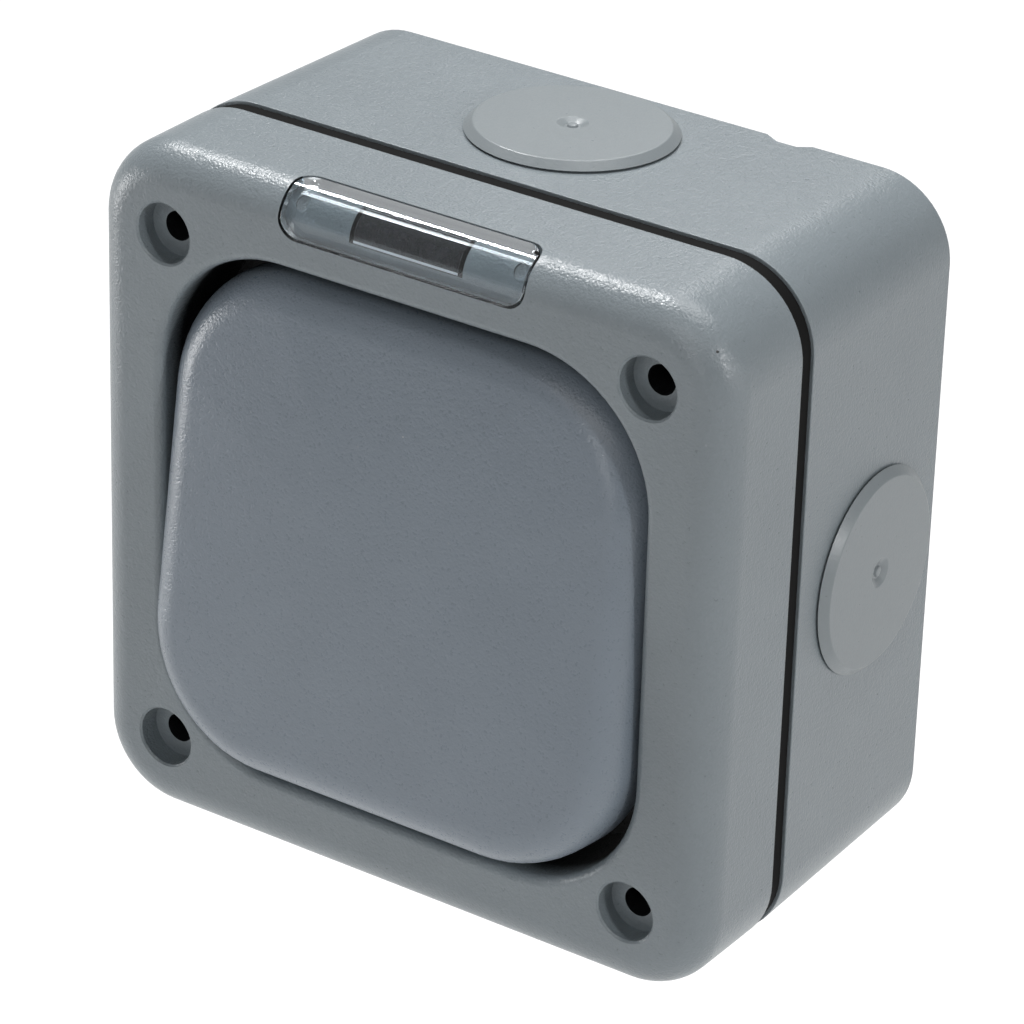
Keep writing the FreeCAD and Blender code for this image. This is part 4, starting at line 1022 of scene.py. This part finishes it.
nodeFinishes = {"module_front": moduleCream, "module_base": moduleCream, "module_screws": platedSteel,
                "upper_terminal": terminalBrass, "common_terminal": terminalBrass,
                "lower_terminal": terminalBrass, "terminal_screws": platedSteel,
                "fixed_contact_tips": contactSilver, "dolly": dollyWhite, "plunger": dollyWhite,
                "plunger_spring": platedSteel, "moving_contact": terminalBrass,
                "moving_contact_tips": contactSilver, "earth_terminal": terminalBrass,
                "earth_screw": platedSteel}
for name, material in nodeFinishes.items():
    for slot in frame["nodes"][name].material_slots:
        slot.material = material
print("mechanism finished")


# Camera, light and floor

view = {"yaw": 33.80, "pitch": 27.24, "roll": 1.74, "distance": 599.18, "across": 2.951, "up": 0.101,
        "lens": 178.22, "sensor": 36, "near": 0.01, "far": 50, "target": (0, -30, 0)}
lights = {"overhead": {"place": (-445, 91, 814), "size": (90, 300), "power": 6.4},
          "back": {"place": (-270, 540, 560), "size": (200, 200), "power": 0.9},
          "above": {"place": (60, 120, 800), "size": (500, 500), "power": 3.9},
          "key": {"place": (130, -670, 510), "size": (700, 150), "power": 1.2},
          "front": {"place": (90, -850, 150), "size": (80, 80), "power": 0.6},
          "edge": {"place": (840, -230, 370), "size": (60, 160), "power": 2.4},
          "side": {"place": (900, 150, 60), "size": (600, 600), "power": 1.4},
          "fill": {"place": (-450, -200, -40), "size": (160, 160), "power": 0.62}}
stage = {"floorUp": -160, "floorHalf": 6000, "floorColour": (0.82, 0.82, 0.82, 1), "ambient": 0.02,
         "mirror": 0.3, "glow": 1.25, "glowShare": 0.6}


def makeCamera():
    yaw, pitch, roll = (math.radians(view[name]) for name in ("yaw", "pitch", "roll"))
    forward = Vector((-math.sin(yaw) * math.cos(pitch), math.cos(yaw) * math.cos(pitch), -math.sin(pitch)))
    level = Vector((math.cos(yaw), math.sin(yaw), 0))
    rise = level.cross(forward)
    right = math.cos(roll) * level + math.sin(roll) * rise
    up = math.cos(roll) * rise - math.sin(roll) * level
    eye = Vector(view["target"]) - forward * view["distance"] + right * view["across"] + up * view["up"]
    data = bpy.data.cameras.new("camera")
    data.sensor_fit = "HORIZONTAL"
    data.sensor_width = view["sensor"]
    data.lens = view["lens"]
    data.clip_start = view["near"]
    data.clip_end = view["far"]
    camera = bpy.data.objects.new("camera", data)
    turn = Matrix((right, up, -forward)).transposed()
    camera.matrix_world = Matrix.Translation(eye / 1000) @ turn.to_4x4()
    bpy.context.scene.collection.objects.link(camera)
    bpy.context.scene.camera = camera


def makeLight(name, values):
    data = bpy.data.lights.new(name, "AREA")
    data.shape = "RECTANGLE"
    data.size = values["size"][0] / 1000
    data.size_y = values["size"][1] / 1000
    data.energy = values["power"]
    light = bpy.data.objects.new(name, data)
    light.location = Vector(values["place"]) / 1000
    aim = Vector(view["target"]) - Vector(values["place"])
    light.rotation_euler = aim.to_track_quat("-Z", "Y").to_euler()
    bpy.context.scene.collection.objects.link(light)


def seenRay(tree, mirrorShare):
    camera, glossy, through = (tree.add("ShaderNodeLightPath", out=f"Is {kind} Ray")
                               for kind in ("Camera", "Glossy", "Transmission"))
    reflected = glossy.math("MAXIMUM", glossy, through) * mirrorShare
    return camera.math("MAXIMUM", camera, reflected)


def makeWorld():
    world = bpy.data.worlds.new("world")
    world.use_nodes = True
    world.node_tree.nodes.clear()
    tree = Tree(world.node_tree)
    strength = stage["ambient"] + seenRay(tree, stage["mirror"]) * (1 - stage["ambient"])
    background = tree.add("ShaderNodeBackground", None, {"Color": (1, 1, 1, 1), "Strength": strength})
    tree.add("ShaderNodeOutputWorld", None, {"Surface": background})
    bpy.context.scene.world = world


def makeFloor():
    material, tree = startMaterial("floorPale")
    pale = tree.add("ShaderNodeBsdfDiffuse", None, {"Color": stage["floorColour"]})
    glow = tree.add("ShaderNodeEmission", None, {"Color": (1, 1, 1, 1), "Strength": stage["glow"]})
    clear = tree.add("ShaderNodeBsdfTransparent")
    below = tree.add("ShaderNodeNewGeometry", out="Backfacing")
    lit = tree.add("ShaderNodeMixShader", None, {0: seenRay(tree, 1.0) * stage["glowShare"], 1: pale, 2: glow})
    surface = tree.add("ShaderNodeMixShader", None, {0: below, 1: lit, 2: clear})
    tree.add("ShaderNodeOutputMaterial", None, {"Surface": surface})
    half = stage["floorHalf"]
    rim = ((-half, -half), (half, -half), (half, half), (-half, half))
    corners = [Vector((x, y, stage["floorUp"])) / 1000 for x, y in rim]
    data = bpy.data.meshes.new("floor")
    data.from_pydata(corners, [], [(0, 1, 2, 3)])
    data.materials.append(material)
    floor = bpy.data.objects.new("floor", data)
    bpy.context.scene.collection.objects.link(floor)


makeCamera()
for name, values in lights.items():
    makeLight(name, values)
makeWorld()
makeFloor()
bpy.context.scene.view_settings.view_transform = "Standard"
print("camera, light and floor made")
